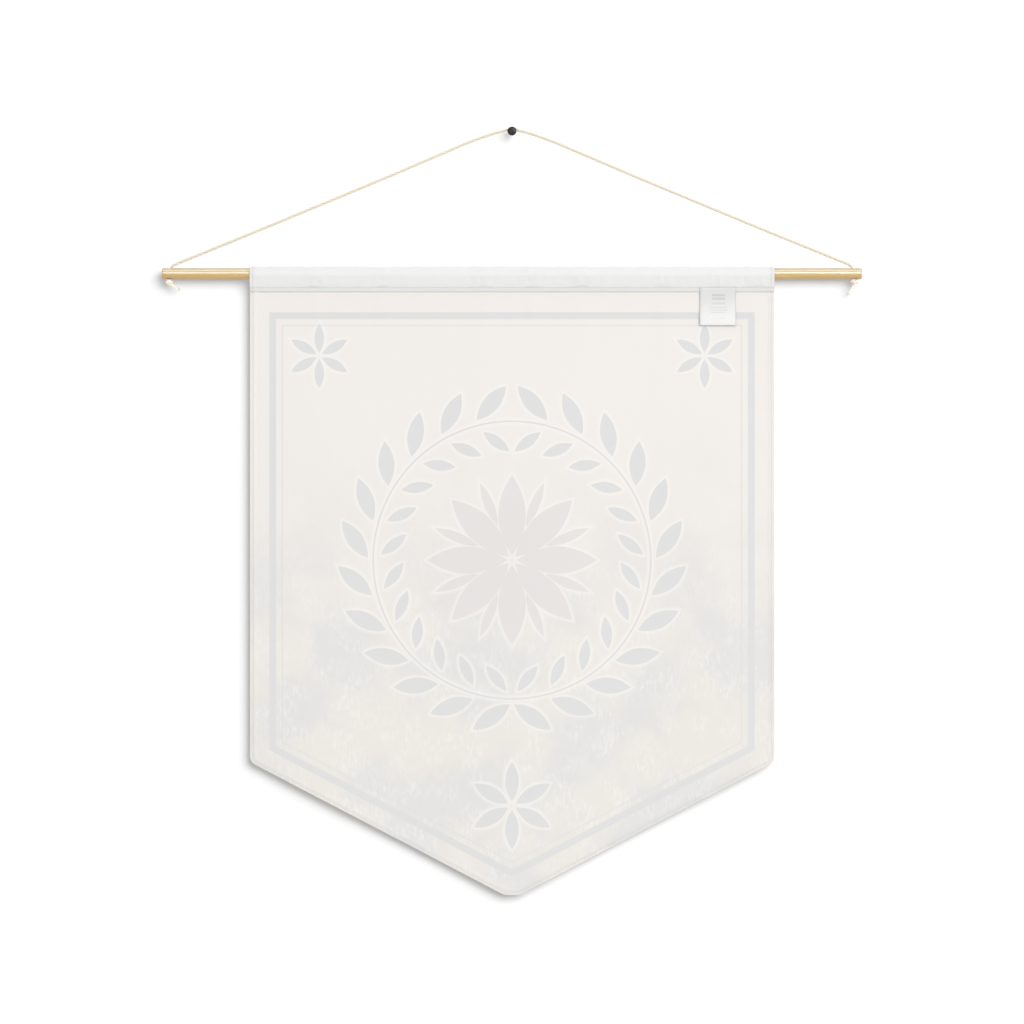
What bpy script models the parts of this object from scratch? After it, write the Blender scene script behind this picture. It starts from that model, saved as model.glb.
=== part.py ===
"""Pennant banner on a wooden dowel, hung by a cord from a nail.

The origin lies on the nail's axis where the nail enters the wall. X runs along the rod, Z is up,
and the wall would be the plane Y = 0, with the banner on its -Y side. Sizes below are millimetres.
"""

import math
from collections import namedtuple

import bmesh
import bpy
from mathutils import Vector
from mathutils.geometry import interpolate_bezier

MM = 0.001
FIT_GAP = 0.3

# Rod: a 24 in length of 3/8 in dowel, with an upright hole near each end
ROD_LENGTH = 609.6
ROD_RADIUS = 4.76
ROD_AXIS_Y = -8.0
ROD_AXIS_Z = -124.4
ROD_SIDES = 32
ROD_CHAMFER = 0.7
HOLE_X = 297.3
HOLE_RADIUS = 1.7
HOLE_FLARE_RADIUS = 2.6
HOLE_FLARE_DEPTH = 1.0
HOLE_SIDES = 16

# Cloth: 18 in wide, its lower edge cut to a blunt point
CLOTH_HALF_WIDTH = 228.6
CLOTH_THICKNESS = 1.1
SLEEVE_CLEARANCE = 0.45
STITCH_Z = -136.0
FLAP_EDGE_Z = -139.7
SHOULDER_Z = -550.0
TIP_Z = -666.0
TIP_HALF_FLAT = 6.8
CORNER_RADIUS = 8.7
TIP_RADIUS = 8.0
HEM_WIDTH = 4.6
HEM_RISE = 0.8
HEM_RAMP = 0.4
COLUMN_SPACING = 15.0
PANEL_ROWS = 13
SLEEVE_ARC_STEPS = 14

# Soft upright waves in the hanging panel; a positive rise swells away from the wall
Wave = namedtuple("Wave", "x half_width rise")
PANEL_WAVES = (
    Wave(x=-176.0, half_width=62.0, rise=1.0),
    Wave(x=-84.0, half_width=58.0, rise=-0.7),
    Wave(x=12.0, half_width=74.0, rise=0.8),
    Wave(x=108.0, half_width=60.0, rise=-0.9),
    Wave(x=196.0, half_width=54.0, rise=0.9),
)
WAVE_GROWTH_LENGTH = 170.0

# Slack puckers where the rod pocket stands a little off the rod
PUCKERS = (
    Wave(x=-171.0, half_width=13.0, rise=0.55),
    Wave(x=-112.0, half_width=9.0, rise=0.35),
    Wave(x=-25.0, half_width=11.0, rise=0.60),
    Wave(x=18.0, half_width=8.0, rise=0.40),
    Wave(x=61.0, half_width=14.0, rise=0.55),
    Wave(x=133.0, half_width=9.0, rise=0.35),
)

# Care label, folded double with the fold at the bottom
LABEL_LEFT = 164.4
LABEL_RIGHT = 194.3
LABEL_TOP_Z = -136.3
LABEL_BOTTOM_Z = -169.6
LABEL_LAYER = 0.6
LABEL_SPLIT = 0.3
LABEL_BOW = 0.5
LABEL_ROWS = 8
LABEL_FOLD_STEPS = 6

# Cord: 2.4 mm twisted cord, taut from the rod's ends to the nail
CORD_RADIUS = 1.2
CORD_TOP_Z = 2.8
CORD_END_Z = -128.9
CORD_STEPS_PER_SPAN = 24
CORD_SPACING = 9.4
CORD_BEND_STEP = math.radians(13.0)

# Half of the cord's route as distance from the nail's axis and height, from the rod to the nail
HALF_ROUTE = (
    (297.3, CORD_END_Z),
    (297.3, -125.2),
    (297.3, -121.6),
    (296.9, -119.61),
    (295.78, -117.92),
    (294.1, -116.8),
    (291.0, -115.51),
    (219.2, -86.3),
    (115.0, -43.1),
    (60.0, -19.7),
    (36.0, -9.4),
    (26.0, -5.7),
    (15.0, -1.85),
    (6.0, 1.15),
    (1.7, 2.52),
    (0.0, CORD_TOP_Z),
)

# Stopper knots: the cord is squeezed thinner where it is pulled tight
KNOT_MIDDLE_Z = -131.3
KNOT_RING_RADIUS = 2.05
KNOT_WINDING_RADIUS = 0.95
KNOT_STRAND_RADIUS = 0.86
KNOT_TAIL_RADIUS = 1.05
KNOT_SAMPLES = 21
KNOT_STEPS_PER_SPAN = 2
KNOT_OPENING = math.radians(30.0)
KNOT_STANDING = ((0.0, 0.2, 2.05), (0.1, 0.4, 1.75))

# Nail with a low round head
NAIL_SHANK_RADIUS = 1.3
NAIL_HEAD_RADIUS = 3.75
NAIL_SIDES = 24

Finish = namedtuple("Finish", "name colour roughness metallic")
CLOTH = Finish("banner_cloth", (0.80, 0.78, 0.75), 0.85, 0.0)
SATIN = Finish("label_satin", (0.88, 0.88, 0.87), 0.45, 0.0)
WOOD = Finish("dowel_wood", (0.76, 0.56, 0.33), 0.45, 0.0)
CORD = Finish("twisted_cord", (0.90, 0.84, 0.72), 0.85, 0.0)
NAIL = Finish("dark_nail", (0.03, 0.03, 0.035), 0.40, 0.6)


def clear_scene():
    """Remove every object that the file opened with."""
    for item in list(bpy.data.objects):
        bpy.data.objects.remove(item, do_unlink=True)


def make_material(finish):
    """Make a Principled material with the finish's colour, roughness and metallic value."""
    material = bpy.data.materials.new(finish.name)
    material.use_nodes = True
    shader = material.node_tree.nodes["Principled BSDF"]
    shader.inputs["Base Color"].default_value = (*finish.colour, 1.0)
    shader.inputs["Roughness"].default_value = finish.roughness
    shader.inputs["Metallic"].default_value = finish.metallic
    return material


def add_object(name, data, finish):
    """Put a mesh or curve into the scene as a named object with its own material."""
    item = bpy.data.objects.new(name, data)
    item.data.materials.append(make_material(finish))
    bpy.context.collection.objects.link(item)
    return item


def mesh_from(name, points, faces):
    """Make a closed mesh from points in millimetres, with its faces turned outwards."""
    mesh = bpy.data.meshes.new(name)
    mesh.from_pydata([Vector(point) * MM for point in points], [], faces)
    work = bmesh.new()
    work.from_mesh(mesh)
    bmesh.ops.recalc_face_normals(work, faces=work.faces)
    work.to_mesh(mesh)
    work.free()
    return mesh


def swell(distance, half_width):
    """Raised cosine: 1 at the middle of a wave, 0 from its half width outwards."""
    if abs(distance) >= half_width:
        return 0.0
    return 0.5 + 0.5 * math.cos(math.pi * distance / half_width)


def turned_mesh(name, profile, sides, axis):
    """Spin a profile of (distance along the axis, radius) points into a closed round shape.

    The first and last points have radius 0, and axis is "X", "Y" or "Z".
    """
    points = [(profile[0][0], 0.0, 0.0)]
    for along, radius in profile[1:-1]:
        for step in range(sides):
            angle = 2.0 * math.pi * step / sides
            points.append((along, radius * math.cos(angle), radius * math.sin(angle)))
    points.append((profile[-1][0], 0.0, 0.0))
    last = len(points) - 1
    rings = len(profile) - 2
    faces = []
    for step in range(sides):
        after = (step + 1) % sides
        faces.append((0, 1 + after, 1 + step))
        for ring in range(rings - 1):
            low = 1 + ring * sides
            faces.append((low + step, low + after, low + sides + after, low + sides + step))
        top = 1 + (rings - 1) * sides
        faces.append((top + step, top + after, last))
    turn = {"X": (0, 1, 2), "Y": (2, 0, 1), "Z": (1, 2, 0)}[axis]
    placed = [tuple(point[index] for index in turn) for point in points]
    return mesh_from(name, placed, faces)


# Cloth

SLANT = math.atan2(SHOULDER_Z - TIP_Z, CLOTH_HALF_WIDTH - TIP_HALF_FLAT)
CORNER_RUN = CORNER_RADIUS * math.tan((math.pi / 2 - SLANT) / 2)
CORNER_CENTRE_X = CLOTH_HALF_WIDTH - CORNER_RADIUS
CORNER_CENTRE_Z = SHOULDER_Z + CORNER_RUN
CORNER_START_X = CLOTH_HALF_WIDTH - CORNER_RUN * math.cos(SLANT)
TIP_RUN = TIP_RADIUS * math.tan(SLANT / 2)
TIP_FLAT_X = TIP_HALF_FLAT - TIP_RUN
TIP_END_X = TIP_HALF_FLAT + TIP_RUN * math.cos(SLANT)


def lower_edge(x):
    """Height of the cloth's lower edge at x: flat tip, tip arc, slanting edge, corner arc."""
    across = abs(x)
    if across <= TIP_FLAT_X:
        return TIP_Z
    if across < TIP_END_X:
        return TIP_Z + TIP_RADIUS - math.sqrt(TIP_RADIUS ** 2 - (across - TIP_FLAT_X) ** 2)
    if across <= CORNER_START_X:
        return TIP_Z + (across - TIP_HALF_FLAT) * math.tan(SLANT)
    out = min(across - CORNER_CENTRE_X, CORNER_RADIUS)
    return CORNER_CENTRE_Z - math.sqrt(CORNER_RADIUS ** 2 - out ** 2)


def column_stops():
    """X of every column of the cloth's mesh, closer together at corners, hems and puckers."""
    corner_turn = math.pi / 2 - SLANT
    half = [CORNER_CENTRE_X + CORNER_RADIUS * math.cos(corner_turn * step / 3) for step in range(4)]
    half += [half[-1] - HEM_RAMP, TIP_FLAT_X, TIP_HALF_FLAT, TIP_END_X]
    stops = set(half) | {-x for x in half}
    for pucker in PUCKERS:
        for share in (-1.0, -0.45, 0.0, 0.45, 1.0):
            stops.add(pucker.x + share * pucker.half_width)
    stops = sorted(stops)
    columns = [stops[0]]
    for stop in stops[1:]:
        start = columns[-1]
        pieces = max(1, math.ceil((stop - start) / COLUMN_SPACING))
        columns += [start + (stop - start) * piece / pieces for piece in range(1, pieces + 1)]
    return columns


def panel_wave(x, z):
    """How far the panel swells away from the wall at (x, z)."""
    growth = min(1.0, max(0.0, (FLAP_EDGE_Z - z) / WAVE_GROWTH_LENGTH))
    growth = growth * growth * (3.0 - 2.0 * growth)
    return growth * sum(wave.rise * swell(x - wave.x, wave.half_width) for wave in PANEL_WAVES)


def panel_rows(x):
    """Heights of the panel's rows at x, from its lower edge up to the flap's edge."""
    foot = lower_edge(x)
    hem_top = foot + HEM_WIDTH / math.cos(SLANT)
    plain = hem_top + HEM_RAMP
    head = FLAP_EDGE_Z - HEM_RAMP
    rows = [foot, hem_top]
    rows += [plain + (head - plain) * row / PANEL_ROWS for row in range(PANEL_ROWS + 1)]
    return rows + [FLAP_EDGE_Z]


def sleeve_pairs(x):
    """Inner and outer points of the rod pocket at x, from the wall side over to the viewer's side."""
    inner_radius = ROD_RADIUS + SLEEVE_CLEARANCE
    drop = ROD_AXIS_Z - STITCH_Z
    leave = math.acos(inner_radius / drop)
    slack = sum(pucker.rise * swell(x - pucker.x, pucker.half_width) for pucker in PUCKERS)

    def on_circle(angle, radius):
        reach = radius + slack * math.sin(angle) ** 2
        return (ROD_AXIS_Y + reach * math.sin(angle), ROD_AXIS_Z - reach * math.cos(angle))

    arc = []
    for step in range(SLEEVE_ARC_STEPS + 1):
        angle = leave + (2.0 * math.pi - 2.0 * leave) * step / SLEEVE_ARC_STEPS
        arc.append((on_circle(angle, inner_radius), on_circle(angle, inner_radius + CLOTH_THICKNESS)))

    def halfway(start, end):
        return ((start[0] + end[0]) / 2, (start[1] + end[1]) / 2)

    crotch = (ROD_AXIS_Y, STITCH_Z)
    wall_foot = (ROD_AXIS_Y + CLOTH_THICKNESS, STITCH_Z)
    flap_foot = (ROD_AXIS_Y - CLOTH_THICKNESS, STITCH_Z)
    first = (halfway(crotch, arc[0][0]), halfway(wall_foot, arc[0][1]))
    final = (halfway(crotch, arc[-1][0]), halfway(flap_foot, arc[-1][1]))
    return [first] + arc + [final]


def cloth_section(x):
    """The cloth cut at x: (y, z) points and the quads between them.

    Each panel row has a viewer's side and a wall side point. The flap adds a layer between its edge
    and the stitch line, and the pocket is a ring of quads that starts and ends at the stitch line.
    """
    in_side_hem = abs(x) >= CORNER_START_X - FIT_GAP / 100
    rows = panel_rows(x)
    points = []
    for row, z in enumerate(rows):
        wave = panel_wave(x, z)
        in_hem = row < 2 or (in_side_hem and row < len(rows) - 1)
        rise = HEM_RISE if in_hem else 0.0
        points.append((ROD_AXIS_Y - wave - rise, z))
        points.append((ROD_AXIS_Y + CLOTH_THICKNESS - wave, z))
    points.append((ROD_AXIS_Y, STITCH_Z))
    points.append((ROD_AXIS_Y + CLOTH_THICKNESS, STITCH_Z))
    count = len(rows)
    quads = [(2 * row, 2 * row + 1, 2 * row + 3, 2 * row + 2) for row in range(count)]
    flap_edge = len(points)
    points.append((ROD_AXIS_Y - CLOTH_THICKNESS, FLAP_EDGE_Z))
    points.append((ROD_AXIS_Y - CLOTH_THICKNESS, STITCH_Z))
    margin_foot = 2 * (count - 1)
    crotch = 2 * count
    quads.append((flap_edge, margin_foot, crotch, flap_edge + 1))
    previous = (crotch, crotch + 1)
    for inner, outer in sleeve_pairs(x):
        current = (len(points), len(points) + 1)
        points += [inner, outer]
        quads.append((previous[0], previous[1], current[1], current[0]))
        previous = current
    quads.append((previous[0], previous[1], flap_edge + 1, crotch))
    return points, quads


def outline_edges(quads):
    """Edges that belong to one quad of the section only, which are its outline and its tunnel."""
    seen = {}
    for quad in quads:
        for start, end in zip(quad, quad[1:] + quad[:1]):
            key = frozenset((start, end))
            seen[key] = None if key in seen else (start, end)
    return [edge for edge in seen.values() if edge]


def build_cloth():
    """The whole banner as one solid: panel, hems, flap margin and the pocket around the rod."""
    columns = column_stops()
    points = []
    for x in columns:
        section, quads = cloth_section(x)
        points += [(x, y, z) for y, z in section]
    size = len(section)
    faces = []
    for column in range(len(columns) - 1):
        low = column * size
        for start, end in outline_edges(quads):
            faces.append((low + start, low + end, low + size + end, low + size + start))
    far = (len(columns) - 1) * size
    faces += [quad[::-1] for quad in quads]
    faces += [tuple(far + index for index in quad) for quad in quads]
    return add_object("banner_cloth", mesh_from("banner_cloth", points, faces), CLOTH)


# Label

def build_label():
    """Folded label: two layers a little apart, joined by a round fold, bowing off the cloth."""
    back = ROD_AXIS_Y - CLOTH_THICKNESS - FIT_GAP - 0.05
    middle = back - LABEL_LAYER - LABEL_SPLIT / 2
    outer_reach = LABEL_LAYER + LABEL_SPLIT / 2
    inner_reach = LABEL_SPLIT / 2
    fold_z = LABEL_BOTTOM_Z + outer_reach

    def line(reach):
        down = []
        for row in range(LABEL_ROWS + 1):
            share = row / LABEL_ROWS
            down.append((reach, LABEL_TOP_Z + (fold_z - LABEL_TOP_Z) * share))
        turn = []
        for step in range(1, LABEL_FOLD_STEPS):
            angle = math.pi * step / LABEL_FOLD_STEPS
            turn.append((reach * math.cos(angle), fold_z - reach * math.sin(angle)))
        return down + turn + [(-along, z) for along, z in reversed(down)]

    section = []
    for inner, outer in zip(line(inner_reach), line(outer_reach)):
        section += [inner, outer]
    quads = [(2 * row, 2 * row + 1, 2 * row + 3, 2 * row + 2) for row in range(len(section) // 2 - 1)]
    columns = [LABEL_LEFT + (LABEL_RIGHT - LABEL_LEFT) * share / 4 for share in range(5)]
    points = []
    for x in columns:
        across = (x - LABEL_LEFT) / (LABEL_RIGHT - LABEL_LEFT)
        for offset, z in section:
            down = (LABEL_TOP_Z - z) / (LABEL_TOP_Z - LABEL_BOTTOM_Z)
            bow = LABEL_BOW * math.sin(math.pi * min(down, 1.0) * 0.75) * (0.6 + 0.4 * across)
            points.append((x, middle + offset - bow, z))
    size = len(section)
    faces = []
    for column in range(len(columns) - 1):
        low = column * size
        for start, end in outline_edges(quads):
            faces.append((low + start, low + end, low + size + end, low + size + start))
    far = (len(columns) - 1) * size
    faces += [quad[::-1] for quad in quads]
    faces += [tuple(far + index for index in quad) for quad in quads]
    return add_object("care_label", mesh_from("care_label", points, faces), SATIN)


# Rod

def build_rod():
    """The dowel, chamfered at both ends, with a flared upright hole near each end."""
    half = ROD_LENGTH / 2
    profile = (
        (-half, 0.0),
        (-half, ROD_RADIUS - ROD_CHAMFER),
        (-half + ROD_CHAMFER, ROD_RADIUS),
        (half - ROD_CHAMFER, ROD_RADIUS),
        (half, ROD_RADIUS - ROD_CHAMFER),
        (half, 0.0),
    )
    rod = add_object("dowel_rod", turned_mesh("dowel_rod", profile, ROD_SIDES, "X"), WOOD)
    rod.location = (0.0, ROD_AXIS_Y * MM, ROD_AXIS_Z * MM)
    throat = ROD_RADIUS - HOLE_FLARE_DEPTH
    flare = (HOLE_FLARE_RADIUS - HOLE_RADIUS) / HOLE_FLARE_DEPTH
    beyond = ROD_RADIUS + 2.0
    mouth = HOLE_FLARE_RADIUS + flare * (beyond - ROD_RADIUS)
    drill = (
        (-beyond, 0.0),
        (-beyond, mouth),
        (-throat, HOLE_RADIUS),
        (throat, HOLE_RADIUS),
        (beyond, mouth),
        (beyond, 0.0),
    )
    for side, x in (("left", -HOLE_X), ("right", HOLE_X)):
        cutter = add_object("drill_" + side, turned_mesh("drill_" + side, drill, HOLE_SIDES, "Z"), WOOD)
        cutter.location = (x * MM, ROD_AXIS_Y * MM, ROD_AXIS_Z * MM)
        cutter.hide_render = True
        cutter.display_type = "WIRE"
        cut = rod.modifiers.new("hole_" + side, "BOOLEAN")
        cut.operation = "DIFFERENCE"
        cut.solver = "EXACT"
        cut.object = cutter
    return rod


# Cord and knots

def smooth_route(route, steps):
    """Read a smooth curve through the route's points, with a number of steps for each span."""
    stops = [Vector(point) for point in route]
    slopes = []
    for index, stop in enumerate(stops):
        before = stops[max(index - 1, 0)]
        after = stops[min(index + 1, len(stops) - 1)]
        slopes.append((after - before).normalized())
    line = []
    for index in range(len(stops) - 1):
        reach = (stops[index + 1] - stops[index]).length / 3
        handle = stops[index] + slopes[index] * reach
        other = stops[index + 1] - slopes[index + 1] * reach
        line += interpolate_bezier(stops[index], handle, other, stops[index + 1], steps + 1)[:-1]
    return line + [stops[-1]]


def tube(name, line, radii, finish):
    """A round tube along a line of points in millimetres, with a radius at each point."""
    curve = bpy.data.curves.new(name, "CURVE")
    curve.dimensions = "3D"
    curve.bevel_depth = MM
    curve.bevel_resolution = 2
    curve.use_fill_caps = True
    spline = curve.splines.new("POLY")
    spline.points.add(len(line) - 1)
    for point, place, radius in zip(spline.points, line, radii):
        point.co = (*(Vector(place) * MM), 1.0)
        point.radius = radius
    return add_object(name, curve, finish)


def cord_route():
    """The hanging cord's whole route, from the left hole over the nail to the right hole."""
    left = [(-out, ROD_AXIS_Y, z) for out, z in HALF_ROUTE]
    right = [(out, ROD_AXIS_Y, z) for out, z in HALF_ROUTE[-2::-1]]
    return left + right


def thin_out(line, spacing, bend):
    """Keep a point after each spacing along the line, and after each bend of a given angle."""
    kept = [line[0]]
    heading = line[1] - line[0]
    for point, after in zip(line[1:], line[2:]):
        turned = heading.angle(after - point)
        if (point - kept[-1]).length >= spacing or turned >= bend:
            kept.append(point)
            heading = after - point
    return kept + [line[-1]]


def build_cord():
    """The plain tube of the hanging cord."""
    line = smooth_route(cord_route(), CORD_STEPS_PER_SPAN)
    line = thin_out(line, CORD_SPACING, CORD_BEND_STEP)
    return tube("hanging_cord", line, [CORD_RADIUS] * len(line), CORD)


def knot_route(turn, tail):
    """Centre line of an overhand knot around its own middle, from the rod's side to the tail's end.

    It is a trefoil wound on a flat ring. The trefoil is cut where a strand dips through the ring's
    eye: one end is led up to the rod, and the other leaves below as the tail.
    """
    eye = math.pi / 3
    start = eye + 2.0 * math.pi - KNOT_OPENING
    end = eye + KNOT_OPENING
    wound = []
    for step in range(KNOT_SAMPLES + 1):
        angle = start + (end - start) * step / KNOT_SAMPLES
        across = KNOT_RING_RADIUS + KNOT_WINDING_RADIUS * math.cos(3.0 * angle)
        height = KNOT_WINDING_RADIUS * math.sin(3.0 * angle)
        wound.append(Vector((across * math.cos(2.0 * angle), across * math.sin(2.0 * angle), height)))
    standing = [Vector(point) for point in KNOT_STANDING]
    leave = [Vector(point) for point in tail]
    spin = math.cos(turn), math.sin(turn)
    placed = []
    for point in standing + wound + leave:
        placed.append(Vector((point.x * spin[0] - point.y * spin[1],
                              point.x * spin[1] + point.y * spin[0], point.z)))
    return placed


def knot_radii(count, loose):
    """Radius at each point of a knot: squeezed in the knot, widening along its loose tail."""
    radii = []
    for index in range(count):
        out = max(0.0, (index - (count - loose)) / loose)
        radii.append(KNOT_STRAND_RADIUS + (KNOT_TAIL_RADIUS - KNOT_STRAND_RADIUS) * min(1.0, 2.0 * out))
    return radii


# Tail points in the knot's own frame, before it is turned about the cord
KNOTS = (
    ("knot_left", -HOLE_X, math.radians(0.0),
     ((-0.5, -0.1, -1.95), (1.2, 0.0, -3.2), (4.4, 0.0, -5.5), (8.4, 0.2, -8.0))),
    ("knot_right", HOLE_X, math.radians(180.0),
     ((-0.6, -0.1, -1.95), (0.5, 0.0, -3.5), (2.0, 0.1, -6.4), (4.3, 0.3, -10.9))),
)


def build_knots():
    """The stopper knot and free tail under each end of the rod."""
    made = []
    for name, x, turn, tail in KNOTS:
        line = smooth_route(knot_route(turn, tail), KNOT_STEPS_PER_SPAN)
        middle = Vector((x, ROD_AXIS_Y, KNOT_MIDDLE_Z))
        line = [point + middle for point in line]
        radii = knot_radii(len(line), KNOT_STEPS_PER_SPAN * (len(tail) - 1))
        made.append(tube(name, line, radii, CORD))
    return made


# Nail

def build_nail():
    """The nail: a dished round head, a shank that the cord hangs on and a point in the wall."""
    profile = (
        (-12.2, 0.0),
        (-12.2, 0.6),
        (-12.6, 1.2),
        (-12.5, 2.0),
        (-12.1, 3.0),
        (-11.5, 3.6),
        (-11.0, NAIL_HEAD_RADIUS),
        (-10.6, 3.6),
        (-10.5, NAIL_SHANK_RADIUS),
        (15.0, NAIL_SHANK_RADIUS),
        (18.0, 0.25),
        (18.0, 0.0),
    )
    return add_object("nail", turned_mesh("nail", profile, NAIL_SIDES, "Y"), NAIL)


def main():
    """Build every piece of the banner."""
    clear_scene()
    build_cloth()
    build_label()
    build_rod()
    build_cord()
    build_knots()
    build_nail()


main()
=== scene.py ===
"""Looks of the pennant banner: printed cloth on a dowel, hung by a twisted cord from a nail.

Sizes are millimetres, as in the part's own source, and meshes are made in metres. The origin lies on the
nail's axis where the nail enters the wall. X runs along the dowel, Z is up and +Y points into the wall,
so the unprinted back of the cloth faces -Y, towards the camera.
"""

import logging
import math
from dataclasses import dataclass
from enum import Enum
from functools import partial, reduce
from typing import Any, Callable, Sequence

import bmesh
import bpy
from mathutils import Matrix, Vector, noise
from mathutils.geometry import interpolate_bezier


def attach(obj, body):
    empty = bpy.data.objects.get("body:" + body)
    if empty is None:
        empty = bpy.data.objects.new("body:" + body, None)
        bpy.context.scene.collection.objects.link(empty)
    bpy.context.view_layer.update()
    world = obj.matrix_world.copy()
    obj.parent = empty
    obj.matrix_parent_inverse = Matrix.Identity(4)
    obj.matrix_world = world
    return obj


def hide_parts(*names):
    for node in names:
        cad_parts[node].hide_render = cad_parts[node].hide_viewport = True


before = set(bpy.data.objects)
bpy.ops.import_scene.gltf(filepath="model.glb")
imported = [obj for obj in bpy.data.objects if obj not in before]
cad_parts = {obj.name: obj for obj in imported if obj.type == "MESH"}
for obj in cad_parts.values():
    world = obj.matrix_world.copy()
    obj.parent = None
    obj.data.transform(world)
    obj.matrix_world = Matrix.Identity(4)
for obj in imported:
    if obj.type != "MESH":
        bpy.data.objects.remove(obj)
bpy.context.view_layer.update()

LOG = logging.getLogger("pennant_banner")
MM = 0.001
FULL_TURN = 2.0 * math.pi
BODY = "root"

Point = Sequence[float]
Piece = bpy.types.Object
Mesh = bpy.types.Mesh
Material = bpy.types.Material
Tree = bpy.types.NodeTree
Node = bpy.types.Node
Socket = bpy.types.NodeSocket

# What feeds an input. A node stands for the first of its outputs that is in use.
Source = Node | Socket

# add_node bound to one tree
Adder = Callable[..., Node]

# The kinds of node that are used most
MATH = "ShaderNodeMath"
VECTOR = "ShaderNodeVectorMath"
AXES = "ShaderNodeSeparateXYZ"
RANGE = "ShaderNodeMapRange"
NOISE = "ShaderNodeTexNoise"
MIX = "ShaderNodeMix"

# Inputs of a colour Mix node, which shares its names among four kinds of value
MIX_FACTOR, MIX_FIRST, MIX_SECOND = 0, 6, 7

# Names of the maps and attributes that patterns follow
CLOTH_MAP = "cloth_place"
LABEL_MAP = "label_place"
FIBRE_PLACE = "fibre_place"
SQUEEZE = "squeeze"
OUTWARD = "outward"


class Slot(Enum):
    """Material slots of the record."""

    CLOTH = "banner_cloth"
    LABEL = "label_satin"
    WOOD = "dowel_wood"
    CORD = "twisted_cord"
    NAIL = "dark_nail"


class Face(Enum):
    """The two faces of the cloth, by their material's place on the mesh."""

    BACK = 0
    PRINTED = 1


# Shared tools


def colour(code: str) -> tuple[float, float, float, float]:
    """Turn an sRGB hex colour into linear values.

    Args:
        code: the colour as "#RRGGBB".

    Returns:
        Linear red, green and blue, and an alpha of 1.
    """
    linear = []
    for start in (1, 3, 5):
        value = int(code[start:start + 2], 16) / 255.0
        linear.append(value / 12.92 if value <= 0.04045 else ((value + 0.055) / 1.055) ** 2.4)
    return (linear[0], linear[1], linear[2], 1.0)


def feed(node: Node, inputs: dict[str | int, Any]) -> None:
    """Set or link a node's inputs.

    Args:
        node: the node.
        inputs: a value or a source, by the input's name or number.
    """
    for key, value in inputs.items():
        if isinstance(value, Node):
            value = next(socket for socket in value.outputs if socket.enabled)
        if isinstance(value, Socket):
            node.id_data.links.new(value, node.inputs[key])
        else:
            node.inputs[key].default_value = value


def add_node(tree: Tree, kind: str, inputs: dict[str | int, Any] | None = None, **settings: Any) -> Node:
    """Add a node with its settings, input values and links.

    Args:
        tree: the node tree to add to.
        kind: the node's type name.
        inputs: the inputs, as feed takes them.
        settings: the node's own properties.

    Returns:
        The new node.
    """
    node = tree.nodes.new(kind)
    for name, value in settings.items():
        setattr(node, name, value)
    feed(node, inputs or {})
    return node


def start_material(name: str, values: dict[str, Any]) -> tuple[Material, Adder, Node]:
    """Make a material and set what is the same all over its surface.

    Args:
        name: the material's name.
        values: constant values by the shader's socket name.

    Returns:
        The material, the function that adds nodes to it, and its shader.
    """
    material = bpy.data.materials.new(name)
    material.use_nodes = True
    shader = material.node_tree.nodes["Principled BSDF"]
    feed(shader, values)
    return material, partial(add_node, material.node_tree), shader


def mesh_from(name: str, points: Sequence[Point], faces: Sequence[Sequence[int]],
              edges: Sequence[Sequence[int]] = ()) -> Mesh:
    """Make a mesh from points in millimetres.

    Args:
        name: the mesh's name.
        points: the corners, in millimetres.
        faces: the corners of each face, by number.
        edges: loose edges, for a mesh that is only a route.

    Returns:
        The mesh in metres, smooth, with closed shapes facing outwards.
    """
    mesh = bpy.data.meshes.new(name)
    mesh.from_pydata([Vector(point) * MM for point in points], edges, faces)
    if faces:
        work = bmesh.new()
        work.from_mesh(mesh)
        bmesh.ops.recalc_face_normals(work, faces=work.faces)
        work.to_mesh(mesh)
        work.free()
        mesh.shade_smooth()
    return mesh


def add_piece(name: str, mesh: Mesh, materials: Sequence[Material] = ()) -> Piece:
    """Put a mesh into the scene as a named piece, with its materials.

    Args:
        name: the piece's name.
        mesh: its mesh.
        materials: its materials, in the order of their numbers on the mesh.

    Returns:
        The piece.
    """
    item = bpy.data.objects.new(name, mesh)
    for material in materials:
        mesh.materials.append(material)
    bpy.context.scene.collection.objects.link(item)
    return item


def keep_evaluated_mesh(item: Piece) -> None:
    """Turn the result of a piece's modifiers into its plain mesh, and remove them.

    Args:
        item: the piece.
    """
    depsgraph = bpy.context.evaluated_depsgraph_get()
    evaluated = item.evaluated_get(depsgraph)
    mesh = bpy.data.meshes.new_from_object(evaluated, preserve_all_data_layers=True, depsgraph=depsgraph)
    item.modifiers.clear()
    item.data = mesh
    mesh.name = item.name


def dress(item: Piece, slot: Slot, *nodes: str) -> None:
    """Make a piece ride on the body, hide the nodes that it stands for, and report it.

    Args:
        item: the piece.
        slot: its material slot; not used.
        nodes: names of the nodes that it stands for.
    """
    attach(item, BODY)
    if nodes:
        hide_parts(*nodes)
    LOG.info("%s: %d faces, stands for %s", item.name, len(item.data.polygons), ", ".join(nodes) or "nothing")


def swell(distance: float, half_width: float) -> float:
    """Raised cosine: 1 at the middle of a wave, 0 from its half width outwards."""
    wave = 0.5 + 0.5 * math.cos(math.pi * distance / half_width)
    return wave if abs(distance) < half_width else 0.0


def ease(value: float) -> float:
    """Smooth step from 0 at 0 to 1 at 1."""
    value = min(1.0, max(0.0, value))
    return value * value * (3.0 - 2.0 * value)


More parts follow.
